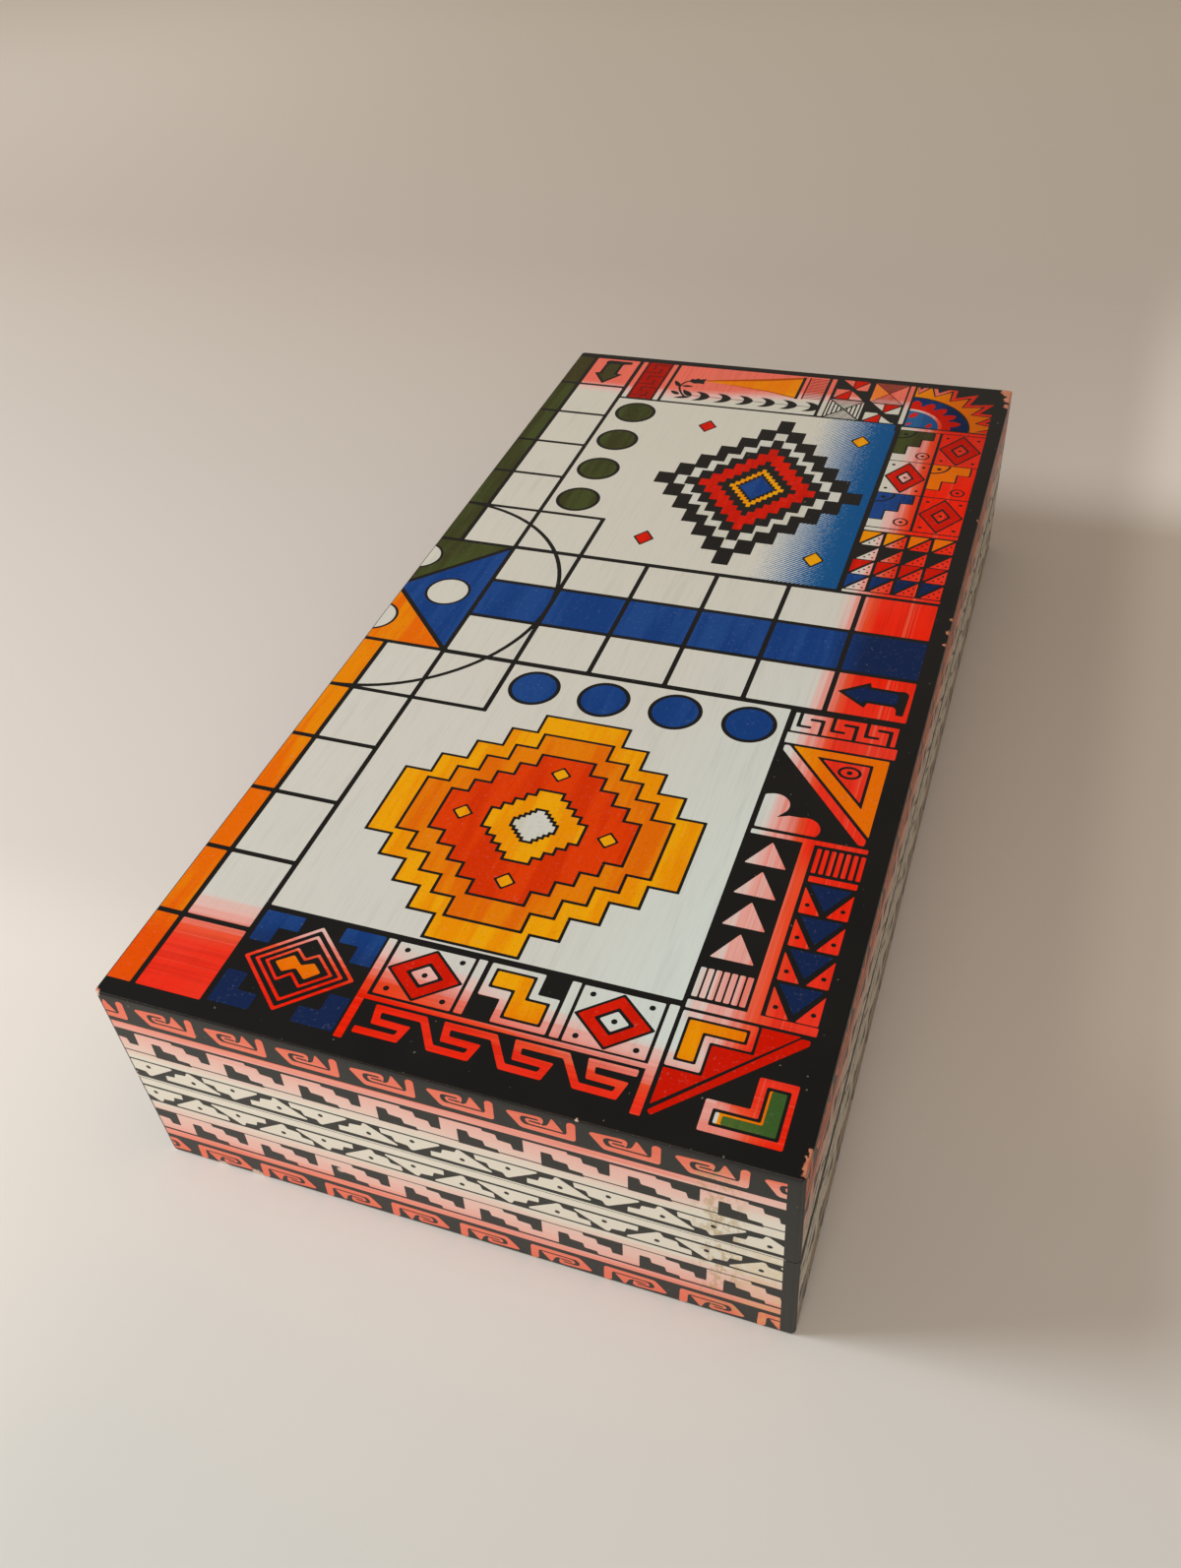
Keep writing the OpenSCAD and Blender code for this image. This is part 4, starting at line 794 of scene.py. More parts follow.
def divide(pattern, low, high):
    """Triangles of each ink inside a rectangle: the last figure over a place gives it its ink."""
    closest = 1e-4
    border = [(low[0], low[1]), (high[0], low[1]), (high[0], high[1]), (low[0], high[1])]
    points, edges = [], []
    for contour in [border] + [contour for _, figure in pattern.figures for contour in figure]:
        first, count = len(points), len(contour)
        points += [Vector(point) for point in contour]
        edges += [(first + i, first + (i + 1) % count) for i in range(count)]
    made, _, faces, *_ = delaunay_2d_cdt(points, edges, [], 0, closest)
    spots, triangles = np.array([tuple(point) for point in made]), np.array(faces)
    middles = spots[triangles].mean(axis=1)
    inks = np.full(len(triangles), "black", dtype=object)
    for ink, figure in pattern.figures:
        every = np.array([tuple(point) for contour in figure for point in contour])
        near = np.flatnonzero(((middles >= every.min(0)) & (middles <= every.max(0))).all(1))
        inks[near[inside(middles[near], figure)]] = ink
    held = ((middles > low) & (middles < high)).all(1)
    return spots, {ink: triangles[(inks == ink) & held] for ink in sorted(set(inks)) if ink != "black"}


def new_object(name, verts, faces):
    mesh = bpy.data.meshes.new(name)
    mesh.from_pydata(verts, [], faces)
    mesh.validate()
    made = bpy.data.objects.new(name, mesh)
    bpy.context.scene.collection.objects.link(made)
    return made


def ink_plates(spots, triangles, place):
    """Corners and faces of closed plates over triangles. place gives the point over a spot at a height."""
    used, flat = np.unique(triangles, return_inverse=True)
    flat = flat.reshape(triangles.shape)
    count = len(used)
    verts = [tuple(c * MM for c in place(x, y, height)) for height in (INK_T, 0) for x, y in spots[used]]
    ways = {(int(a), int(b)) for face in flat for a, b in zip(face, np.roll(face, -1))}
    walls = [(a, a + count, b + count, b) for a, b in sorted(ways) if (b, a) not in ways]
    faces = [tuple(int(i) for i in face) for face in flat]
    return verts, faces + [tuple(i + count for i in reversed(face)) for face in faces] + walls


def ink_object(name, body, plates):
    """One object of several sets of plates, with its faces turned outwards, that moves with a body."""
    verts, faces = [], []
    for plate_verts, plate_faces in plates:
        faces += [tuple(i + len(verts) for i in face) for face in plate_faces]
        verts += plate_verts
    made = new_object(name, verts, faces)
    bm = bmesh.new()
    bm.from_mesh(made.data)
    bmesh.ops.recalc_face_normals(bm, faces=bm.faces)
    bm.to_mesh(made.data)
    bm.free()
    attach(made, body)
    return made


def print_face(half, players, seam_z, up):
    """The ink of one playing face. The lower face is the upper one turned over about the long way."""
    low = (FOLD_TRIM + EDGE_R, -HALF_L - PATTERN_SHIFT + EDGE_R)
    high = (FIELD + BORDER, HALF_L - PATTERN_SHIFT - EDGE_R)
    spots, inks = divide(face_pattern(players), low, high)

    def place(x, y, height):
        return x - HALF_W - FOLD_TRIM, y * up + PATTERN_SHIFT, seam_z + up * (FACE_H + height)

    return {ink: ink_object(f"{half}_face_print_{ink}", f"{half}_half", [ink_plates(spots, triangles, place)])
            for ink, triangles in inks.items()}


def print_sides(half, seam_z, up):
    """The print of a half's front, opening side and back. The lower half's is turned half round."""
    left_margin, right_margin = (1.5, 4.2) if up > 0 else (4.2, 1.5)
    # Each side's length, and the place above it at a way along it and a height of the ink
    sides = ((2 * HALF_W, lambda along, height: (along - HALF_W, -HALF_L - height)),
             (2 * HALF_L, lambda along, height: (HALF_W + height, along - HALF_L)),
             (2 * HALF_W, lambda along, height: (HALF_W - along, HALF_L + height)))
    plates = []
    for length, side in sides:
        spots, inks = divide(side_pattern(half, length), (left_margin, 0), (length - right_margin, SHELL_H))

        def place(u, v, height, side=side, length=length):
            return *side(u if up > 0 else length - u, height), seam_z + up * v

        plates.append(ink_plates(spots, inks["band"], place))
    made = ink_object(f"{half}_side_print", f"{half}_half", plates)
    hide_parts(*[f"{half}_side_{ink}" for ink in ("white", "pink", "red")])
    return made


# Lacquer shells

def outline(inset, z):
    """The box's outline, drawn in by some millimetres, at a height, as points in metres."""
    r = CORNER_R - inset
    points = []
    for k, (side_x, side_y) in enumerate(((1, 1), (-1, 1), (-1, -1), (1, -1))):
        middle = (side_x * (HALF_W - CORNER_R), side_y * (HALF_L - CORNER_R))
        points += arc_points(middle, r, 90 * k, 90 * (k + 1), 8)
    return [(x * MM, y * MM, z * MM) for x, y in points]


def walls_between(first, second, count):
    """Faces between two rings of as many points, which start at those numbers."""
    turns = [(i, (i + 1) % count) for i in range(count)]
    return [(first + i, first + j, second + j, second + i) for i, j in turns]


def lacquer_shell(half, seam_z, up):
    """The black coat over one half's sides and playing face, with a rolled edge between them."""
    roll_steps = 6
    turns = [math.radians(90 * i / roll_steps) for i in range(roll_steps + 1)]
    rolls = [(EDGE_R * (1 - math.cos(a)), FACE_H - EDGE_R + EDGE_R * math.sin(a)) for a in turns]
    profile = [(COAT_T, 0), (0, 0)] + rolls + [(COAT_T, SHELL_H - COAT_T)]
    loops = [outline(inset, seam_z + up * z) for inset, z in profile]
    verts = [point for loop in loops for point in loop]
    count = len(loops[0])
    starts = range(0, len(verts), count)
    # Up the outside to the face, and from the inside under the face down to the seam
    faces = []
    for first, second in [*zip(starts, starts[1:-1]), (starts[-1], starts[0])]:
        faces += walls_between(first, second, count)
    faces.append(tuple(range(starts[-2], starts[-1])))
    faces.append(tuple(reversed(range(starts[-1], len(verts)))))
    shell = new_object(f"{half}_lacquer", verts, faces)
    cut_for_hinges(shell)
    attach(shell, f"{half}_half")
    inks = ("black", "white", "red", "green", "yellow", "blue")
    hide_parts(f"{half}_side_black", *[f"{half}_face_{ink}" for ink in inks])
    return shell


def cut_for_hinges(shell):
    """Leaves room in the coat for the leaves and the knuckles."""
    room, knuckle_end_room, leaf_end_room, leaf_t, leaf_reach = 0.25, 0.7, 0.1, 0.9, 2
    bm = bmesh.new()
    for end in ("front", "back"):
        low, high = [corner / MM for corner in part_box(f"{end}_hinge_lower_leaf")]
        length = high.y - low.y
        r = FOLD_AXIS.x - low.x + room
        place = Matrix.Translation((FOLD_AXIS.x * MM, (low.y + high.y) / 2 * MM, FOLD_AXIS.z * MM))
        turned = place @ Matrix.Rotation(math.radians(90), 4, "X")
        bmesh.ops.create_cone(bm, cap_ends=True, segments=32, radius1=r * MM, radius2=r * MM,
                              depth=(length + 2 * knuckle_end_room) * MM, matrix=turned)
        box = bmesh.ops.create_cube(bm, size=1)["verts"]
        span = (2 * leaf_reach, length + 2 * leaf_end_room, SEAM_UPPER - SEAM_LOWER + 2 * leaf_t)
        scaled = Matrix.Diagonal((*[size * MM for size in span], 1))
        bmesh.ops.transform(bm, matrix=place @ scaled, verts=box)
    mesh = bpy.data.meshes.new("cutter")
    bm.to_mesh(mesh)
    bm.free()
    cutter = bpy.data.objects.new("cutter", mesh)
    bpy.context.scene.collection.objects.link(cutter)
    modifier = shell.modifiers.new("cut", "BOOLEAN")
    modifier.operation = "DIFFERENCE"
    modifier.solver = "EXACT"
    modifier.use_self = True
    modifier.object = cutter
    bpy.context.view_layer.update()
    evaluated = shell.evaluated_get(bpy.context.evaluated_depsgraph_get())
    shell.data = bpy.data.meshes.new_from_object(evaluated)
    shell.modifiers.clear()
    bpy.data.objects.remove(cutter)


# Materials

def srgb(red, green, blue):
    """A colour written as it shows, 0 to 255 each, as the linear values that shaders take."""
    parts = [c / 255 for c in (red, green, blue)]
    return tuple(c / 12.92 if c <= 0.04045 else ((c + 0.055) / 1.055) ** 2.4 for c in parts) + (1,)


class Value:
    """What a node gives at every place of a material. Sums with it add nodes."""

    def __init__(self, shader, socket):
        self.shader = shader
        self.socket = socket

    def __add__(self, other):
        return self.shader.math("ADD", self, other)

    def __sub__(self, other):
        return self.shader.math("SUBTRACT", self, other)

    def __rsub__(self, other):
        return self.shader.math("SUBTRACT", other, self)

    def __mul__(self, other):
        return self.shader.math("MULTIPLY", self, other)


class Shader:
    """A material whose colour and bump come from nodes, with positions in millimetres."""

    def __init__(self, name, roughness, **constants):
        self.material = bpy.data.materials.new(name)
        self.material.use_nodes = True
        self.tree = self.material.node_tree
        self.surface = self.tree.nodes["Principled BSDF"]
        for key, value in {"Roughness": roughness, **constants}.items():
            self.surface.inputs[key.replace("_", " ")].default_value = value
        place = self.node("TexCoord", output="Object")
        self.position = self.vector("MULTIPLY", place, (1 / MM,) * 3)
        self.x, self.y, self.z = [self.node("SeparateXYZ", {0: self.position}, axis) for axis in "XYZ"]

    def put(self, socket, value):
        if isinstance(value, Value):
            self.tree.links.new(value.socket, socket)
        else:
            socket.default_value = value

    def node(self, kind, inputs=None, output=0, **settings):
        """One output of a new node, with its inputs set or linked."""
        made = self.tree.nodes.new("ShaderNode" + kind)
        for key, setting in settings.items():
            setattr(made, key, setting)
        for key, value in (inputs or {}).items():
            self.put(made.inputs[key], value)
        return Value(self, made.outputs[output])

    def math(self, operation, *values):
        return self.node("Math", dict(enumerate(values)), operation=operation)

    def vector(self, operation, *values, output="Vector"):
        return self.node("VectorMath", dict(enumerate(values)), output, operation=operation)

    def distance(self, place):
        return self.vector("DISTANCE", self.position, place, output="Value")

    def noise(self, scale, detail=3, roughness=0.5, shift=0):
        """Noise from 0 to 1. scale is features per millimetre along x, y and z."""
        scaled = self.vector("MULTIPLY", self.position, scale)
        place = self.vector("ADD", scaled, (shift, shift * 1.7, shift * 0.6))
        inputs = {"Vector": place, "Scale": 1, "Detail": detail, "Roughness": roughness}
        return self.node("TexNoise", inputs, "Fac")

    def rise(self, value, low, high):
        """0 below low, 1 above high, smooth between."""
        return self.node("MapRange", {0: value, 1: low, 2: high}, interpolation_type="SMOOTHSTEP")

    def fall(self, value, low, high):
        """1 below low, 0 above high, smooth between."""
        return 1 - self.rise(value, low, high)

    def slope(self, value, low, high):
        """0 below low, 1 above high, straight between."""
        return self.node("MapRange", {0: value, 1: low, 2: high})

    def mix(self, share, a, b):
        return self.node("Mix", {0: share, 6: a, 7: b}, 2, data_type="RGBA")

    def shade(self, base, share):
        """Darkens a colour by a share."""
        return self.mix(share, base, (0, 0, 0, 1))

    def ramp(self, share, stops):
        made = self.node("ValToRGB", {0: share})
        elements = made.socket.node.color_ramp.elements
        while len(elements) < len(stops):
            elements.new(0.5)
        for element, (place, colour) in zip(elements, stops):
            element.position = place
            element.color = colour
        return made

    def bump(self, height, depth, strength):
        """Relief of a depth in millimetres."""
        inputs = {"Height": height, "Distance": depth * MM, "Strength": strength}
        self.put(self.surface.inputs["Normal"], self.node("Bump", inputs))

    def colour(self, value):
        self.put(self.surface.inputs["Base Color"], value)
        return self.material


# The ground's colours where it is bare, at the front and at the back, the back one yellowed with age and
# darkened as painted shade, and as the red over it deepens
WHITE = srgb(218, 218, 211)
AGED_SHADED_WHITE = srgb(218, 214, 200)
COOL_WHITE = srgb(219, 230, 225)
BLUSH = srgb(240, 194, 186)
PINK = srgb(243, 146, 134)
CORAL = srgb(247, 80, 40)
RED = srgb(249, 34, 0)
PALE_STREAK = srgb(246, 122, 92)

# The red along each edge of the ground: how far in it is full, where the bare ground starts, and its strength
SIDE_RED = (20, 33.5, 1)
BACK_RED = (22.6, 32.8, 0.64)
FRONT_RED = (4.5, 23, 1)

# Where the red is thin near the corner between the front and the opening side
PALE_SPOTS = {"upper": (HALF_W - 25, -HALF_L + 7, TOP_Z),
              "lower": (HALF_W - 25, HALF_L - 7, SEAM_LOWER - SHELL_H)}


def towards_back(s, half):
    """How far a place lies towards the end that is the back when the half's face is up."""
    return s.y if half == "upper" else s.y * -1


def face_redness(s, half):
    """How far the brushed red of the ground shows at a place of a playing face, and its brush strokes."""
    from_fold = s.x + (HALF_W + FOLD_TRIM)
    side = FIELD - FOLD_TRIM - HALF_W - s.x
    back = FIELD + PATTERN_SHIFT - s.y
    front = s.y + (FIELD - PATTERN_SHIFT)
    if half == "lower":
        back, front = front, back
    # Softer and wider by the triangles near the front, and further out at the front corner
    soft = s.rise(front, 24, 34) * s.fall(front, 85, 115)
    side = side + (30 - side) * soft * 0.45
    side = side + s.fall(front, 20, 34) * 4 + s.rise(front, 235, 265) * 2
    # The ends' red reaches further in near the fold than at the opening side
    front = front - 14 + s.rise(from_fold, 40, 175) * 15
    back = back + s.rise(from_fold, 55, 130) * 9
    along_y = s.noise((0.45, 0.004, 0), 4, 0.7)
    along_x = s.noise((0.004, 0.45, 0), 4, 0.7, 7)
    thin_y = s.rise(s.noise((0.7, 0.002, 0), 2, 0.5, 11), 0.58, 0.68)
    thin_x = s.rise(s.noise((0.002, 0.9, 0), 2, 0.5, 15), 0.56, 0.7)
    ragged = 11
    redness, strokes = 0, 0
    for distance, streaks, thin, (full_until, bare_from, strength) in (
            (side, along_y, thin_y, SIDE_RED), (back, along_x, thin_x, BACK_RED),
            (front, along_x, thin_x, FRONT_RED)):
        moved = distance + (streaks - 0.5) * ragged
        share = (1 - s.slope(moved, full_until, bare_from)) * strength
        redness = s.math("MAXIMUM", redness, share)
        strokes = s.math("MAXIMUM", strokes, share * thin)
    return redness - s.fall(s.distance(PALE_SPOTS[half]), 3, 15) * 0.5, strokes


def aged_and_shaded_white(s, half):
    """The bare ground, a little yellower with age towards the back, and darker there as painted shade, where
    less light falls.
    """
    far = towards_back(s, half)
    cool = s.slope(s.x, 5, 60) * (1 - s.slope(far, -150, 60))
    return s.mix(cool, s.mix(s.slope(far, -160, 120), WHITE, AGED_SHADED_WHITE), COOL_WHITE)


def far_corner_darkening(s, base, half):
    """Darkening of the print in the corner between the back and the opening side."""
    corner = s.slope(s.x, 52, 92) * s.slope(towards_back(s, half), 110, 165)
    return s.shade(base, corner * 0.32)


def grained(s, base, low, high, depth):
    """The colour and relief of the printed board's fine upright texture, over a colour."""
    fine = s.noise((1.6, 0.05, 0.05), 3, 0.6, 3)
    s.bump(fine, 0.03, 0.5)
    return s.shade(base, s.rise(fine, low, high) * depth)


def ink_surface(name):
    return Shader(name, 0.42, Specular_IOR_Level=0.05)


def ground_material(half):
    """White that yellows with age, under red that was brushed in from the edges."""
    s = ink_surface(f"{half}_ground_ink")
    redness, strokes = face_redness(s, half)
    red = s.ramp(redness, ((0.0, BLUSH), (0.25, BLUSH), (0.5, PINK), (0.75, CORAL), (1.0, RED)))
    base = s.mix(s.slope(redness, 0, 0.25), aged_and_shaded_white(s, half), red)
    base = s.mix(strokes * 0.42, base, PALE_STREAK)
    tint = s.rise(s.noise((0.02, 0.02, 0), 2, 0.5, 5), 0.3, 0.8)
    base = s.mix(tint * 0.06, base, srgb(214, 200, 170))
    patches = s.rise(s.noise((0.3, 0.03, 0), 3, 0.6, 19), 0.5, 0.8)
    base = s.shade(base, patches * 0.08)
    brushed_x, brushed_y = s.noise((0.03, 0.8, 0), 3, 0.6, 31), s.noise((0.8, 0.03, 0), 3, 0.6, 37)
    brushed = s.mix(s.slope(s.y, -HALF_L + 35, -HALF_L + 50), brushed_x, brushed_y)
    base = s.shade(base, s.rise(brushed, 0.46, 0.62) * redness * 0.13)
    return s.colour(far_corner_darkening(s, grained(s, base, 0.45, 0.75, 0.06), half))


def dusk_material(half):
    """Bare ground that fades to blue towards the opening side, in short dashes across the board."""
    s = ink_surface(f"{half}_dusk_ink")
    edge, fade_w, solid_w = HOME - FOLD_TRIM - HALF_W, 44, 2
    share = s.rise(s.x, edge - fade_w, edge - solid_w)
    hatch = s.math("PINGPONG", (s.x - s.y) * 0.62, 0.5) * 2
    uneven = (s.noise((1.1, 1.1, 0), 1, 0.5, 4) - 0.5) * 0.5
    dashes = s.rise(share * 1.3 + hatch + uneven, 1.12, 1.26)
    blue = s.mix(share, srgb(48, 132, 190), srgb(22, 86, 144))
    return s.colour(grained(s, s.mix(dashes, aged_and_shaded_white(s, half), blue), 0.45, 0.75, 0.06))


# Each ink over the white and over the red of the ground, and the second tone it is washed with
INKS = {
    "bare": ((217, 217, 207), (217, 217, 207), (210, 207, 192)),
    "orange": ((238, 132, 4), (238, 132, 4), (232, 106, 2)),
    "vermilion": ((232, 64, 2), (222, 50, 0), (218, 50, 0)),
    "umber": ((190, 92, 8), (186, 78, 2), (176, 80, 8)),
    "maroon": ((122, 30, 22), (116, 26, 18), (108, 26, 20)),
    "russet": ((176, 104, 88), (164, 70, 54), (156, 88, 76)),
    "blue": ((22, 64, 132), (22, 40, 82), (34, 76, 144)),
    "sky": ((50, 104, 156), (40, 84, 136), (36, 88, 146)),
    "leaf": ((70, 104, 52), (62, 96, 44), (112, 128, 44)),
    "green": ((72, 80, 40), (70, 59, 35), (62, 62, 34)),
    "red": ((222, 30, 6), (212, 22, 0), (204, 24, 4)),
    "crimson": ((184, 26, 14), (178, 22, 8), (162, 24, 12)),
    "amber": ((248, 172, 6), (242, 116, 0), (244, 146, 0)),
    "yellow": ((240, 110, 0), (238, 84, 0), (242, 146, 2)),
}


def ink_material(half, ink):
    """An ink that the ground's red shows through, washed along the board with a second tone."""
    over_white, over_red, washed = [srgb(*tone) for tone in INKS[ink]]
    s = ink_surface(f"{half}_{ink}_ink")
    redness = face_redness(s, half)[0]
    wash = s.rise(s.noise((0.14, 0.012, 0), 3, 0.6, 9), 0.42, 0.6)
    base = s.mix(redness, s.mix(wash * 0.85, over_white, washed), over_red)
    specks = s.rise(s.noise((1.1, 1.1, 0), 2, 0.6, 23), 0.56, 0.7)
    base = s.shade(base, specks * 0.14)
    rubbed = s.rise(s.noise((0.9, 0.9, 0), 4, 0.75, 29), 0.58, 0.72)
    base = s.mix(rubbed * 0.12, base, srgb(206, 204, 196))
    return s.colour(far_corner_darkening(s, grained(s, base, 0.5, 0.8, 0.08), half))


def edge_nearness(s, seam_z, up):
    """Distance from the nearest edge of a half, in millimetres, for a place on its surface."""
    from_side = HALF_W - s.math("ABSOLUTE", s.x)
    from_end = HALF_L - s.math("ABSOLUTE", s.y)
    height = (s.z - seam_z) * up
    from_rim = s.math("MINIMUM", height, SHELL_H - height)
    nearer, farther = s.math("MINIMUM", from_side, from_end), s.math("MAXIMUM", from_side, from_end)
    return s.math("MAXIMUM", nearer, s.math("MINIMUM", farther, from_rim))


# Knocks that show under the lacquer: y along the face's edge at the opening side, and reach
SIDE_KNOCKS = ((HALF_L - 2, 4.4), (HALF_L - 9, 2.8), (HALF_L - 15, 2), (-HALF_L + 2.5, 1.5),
               (-HALF_L + 4.4, 1.4), (-HALF_L + 6.2, 1.2), (-HALF_L + 7.8, 0.9), (12, 1), (19, 1.2),
               (27, 0.9), (92, 0.8))
# The same on the front end: x, z and reach
FRONT_KNOCKS = ((-HALF_W, TOP_Z, 1.8), (42.5, TOP_Z, 0.5), (-HALF_W, SEAM_UPPER, 1.2), (-HALF_W, 0, 1.6),
                (-HALF_W + 19, 0, 1.8), (-HALF_W + 31, 0.5, 1.9), (-HALF_W + 63.5, 18.5, 1.2))
KNOCKS = ([((HALF_W, y, TOP_Z), reach) for y, reach in SIDE_KNOCKS]
          + [((x, -HALF_L, z), reach) for x, z, reach in FRONT_KNOCKS])


def lacquer_material(half, seam_z, up):
    """Black lacquer, rubbed through to reddish undercoat in small places along the edges, with a painted
    reflection that lightens the front.
    """
    s = Shader(f"{half}_lacquer", 0.32, Specular_IOR_Level=0.2)
    ragged = s.noise((0.8,) * 3, 4, 0.65, 2)
    worn = s.rise(ragged - edge_nearness(s, seam_z, up) * 0.28, 0.6, 0.64)
    for place, reach in KNOCKS:
        distance = s.distance(place) - (ragged - 0.5) * 3.2
        worn = s.math("MAXIMUM", worn, s.fall(distance, reach - 0.2, reach + 0.2))
    on_front = s.math("LESS_THAN", s.y, -HALF_L + 0.5)
    under = s.mix(s.noise((0.5,) * 3, 2, 0.5, 6), srgb(196, 96, 70), srgb(214, 160, 128))
    under = s.mix(on_front * 0.7, under, srgb(206, 196, 184))
    black = s.mix(s.noise((0.05,) * 3, 3, 0.5, 1), srgb(13, 13, 14), srgb(28, 27, 26))
    # Painted reflection: below its top edge the front's black is lighter, standing in for the pale floor seen
    # in it.
    below_edge = s.fall(s.z, TOP_Z - 3, TOP_Z - 0.5)
    black = s.mix(on_front * below_edge * 0.7, black, srgb(44, 45, 42))
    dust = s.rise(s.noise((0.75,) * 3, 1, 0.4, 13), 0.78, 0.8)
    black = s.mix(dust * 0.5, black, srgb(150, 140, 128))
    s.bump(s.noise((1.1, 0.06, 0.4), 3, 0.6, 3) * 0.4 - worn, 0.08, 0.6)
    return s.colour(s.mix(worn, black, under))


def band_stain(s, base):
    """A brown stain that ran down the front end, and a yellowed patch beside it."""
    stain_x = HALF_W - 21
    across = s.math("ABSOLUTE", s.x - stain_x)
    on_front = s.math("LESS_THAN", s.y, -HALF_L + 1)
    blots = s.noise((0.55, 0.55, 0.28), 5, 0.75, 21)
    stained = s.fall(across, 2, 9) * on_front * s.rise(blots, 0.47, 0.58)
    base = s.mix(stained * 0.65, base, srgb(178, 152, 104))
    low = s.fall(s.z, SEAM_UPPER - 4, SEAM_UPPER + 6)
    patch = s.rise(s.x, HALF_W - 24, HALF_W - 8) * on_front * low * s.rise(blots, 0.35, 0.6)
    return s.mix(patch * 0.4, base, srgb(214, 184, 120))


def seam_darkening(s, base, height, opening):
    """Darkening with a ragged edge along the seam of the opening side, wider towards the front."""
    width = s.fall(s.y, -HALF_L + 20, -HALF_L + 115) * 2 + 0.8
    ragged = height + (s.noise((0.25, 0.25, 0.6), 4, 0.7, 41) - 0.5) * 3
    return s.mix(opening * s.fall(ragged - width, -0.3, 0.4), base, srgb(24, 18, 14))


def band_material(half, seam_z, up):
    """The sides' print: white at the seam, red towards the playing face, brushed along the box."""
    s = Shader(f"{half}_band_ink", 0.45, Specular_IOR_Level=0.2)
    full_red = 40
    height = (s.z - seam_z) * up
    opening = s.math("GREATER_THAN", s.x, HALF_W - 1)
    streaks = s.noise((0.012, 0.012, 1.1), 4, 0.7, 4 + up)
    drift = s.noise((0.014, 0.014, 0.02), 2, 0.5, 8 + up)
    moved = height + (streaks - 0.5) * 13 + (drift - 0.5) * 7 + opening * (12 * up - 8)
    if half == "upper":
        moved = moved + s.rise(s.x, 62, 88) * (opening - 1) * 6
    base = s.ramp(moved * (1 / full_red), (
        (0.0, srgb(222, 218, 205)), (0.26, srgb(222, 217, 204)), (0.36, srgb(227, 201, 190)),
        (0.46, srgb(231, 190, 180)), (0.57, srgb(231, 182, 172)), (0.65, srgb(233, 156, 142)),
        (0.74, srgb(232, 122, 98)), (1.0, srgb(228, 106, 80))))
    strokes = s.noise((0.02, 0.02, 1.9), 3, 0.6, 17 + up)
    base = s.mix(s.rise(strokes, 0.5, 0.72) * s.rise(moved, 16, 30) * 0.3, base, srgb(242, 166, 148))
    # Painted shade: the print darkens towards the opening side, where less light falls.
    base = s.shade(band_stain(s, base), s.slope(s.x, -30, 80) * 0.07)
    # Painted shade: the opening side, which lies out of the light, is mixed towards a dark brown, and more so
    # on the lower half's outer rows.
    dull = s.rise(height, 22, 30) * 0.4 + 0.35 if half == "lower" else 0.35
    base = seam_darkening(s, s.mix(opening * dull, base, srgb(150, 130, 104)), height, opening)
    fine = s.noise((0.3, 0.3, 2.2), 3, 0.6, 17)
    s.bump(fine, 0.04, 0.5)
    return s.colour(s.mix(s.rise(fine, 0.5, 0.8) * 0.08, base, srgb(190, 170, 140)))


def wood_material(name, along):
    """Pale timber with its grain along x or y."""
    s = Shader(name, 0.6, IOR=1.45)
    stretch = {"x": (0.012, 0.3, 0.3), "y": (0.3, 0.012, 0.3)}[along]
    soft = s.math("PINGPONG", s.math("FRACT", s.noise(stretch, 5, 0.6, 2) * 9), 0.5)
    base = s.ramp(soft, ((0.0, srgb(196, 156, 108)), (0.3, srgb(186, 142, 92)), (0.5, srgb(160, 114, 68))))
    pores = s.noise(tuple(c * 9 for c in stretch), 2, 0.5, 5)
    s.bump(soft + pores, 0.08, 0.4)
    return s.colour(s.mix(s.rise(pores, 0.58, 0.7) * 0.4, base, srgb(112, 76, 42)))


def brass_material():
    s = Shader("hinge_brass", 0.34, Metallic=1.0)
    dull = s.noise((0.6,) * 3, 4, 0.6)
    s.put(s.surface.inputs["Roughness"], dull * 0.3 + 0.2)
    s.bump(dull, 0.02, 0.4)
    return s.colour(s.mix(s.rise(dull, 0.4, 0.7), srgb(196, 162, 92), srgb(140, 106, 56)))


def paint_material(name, colour):
    """Glossy paint on turned wood."""
    s = Shader(name, 0.28, IOR=1.5)
    flow = s.noise((0.25,) * 3, 3, 0.5)
    s.bump(flow, 0.05, 0.5)
    return s.colour(s.shade(colour, s.rise(flow, 0.35, 0.75) * 0.3))


def set_material(obj, material):
    obj.data.materials.clear()
    obj.data.materials.append(material)


def dress_node(name, material):
    """Puts a material on a CAD node, whose mesh stays as it is."""
    obj = frame["nodes"][name]
    if not obj.material_slots:
        obj.data.materials.append(material)
    for slot in obj.material_slots:
        slot.link = "OBJECT"
        slot.material = material


# Pips of the dice

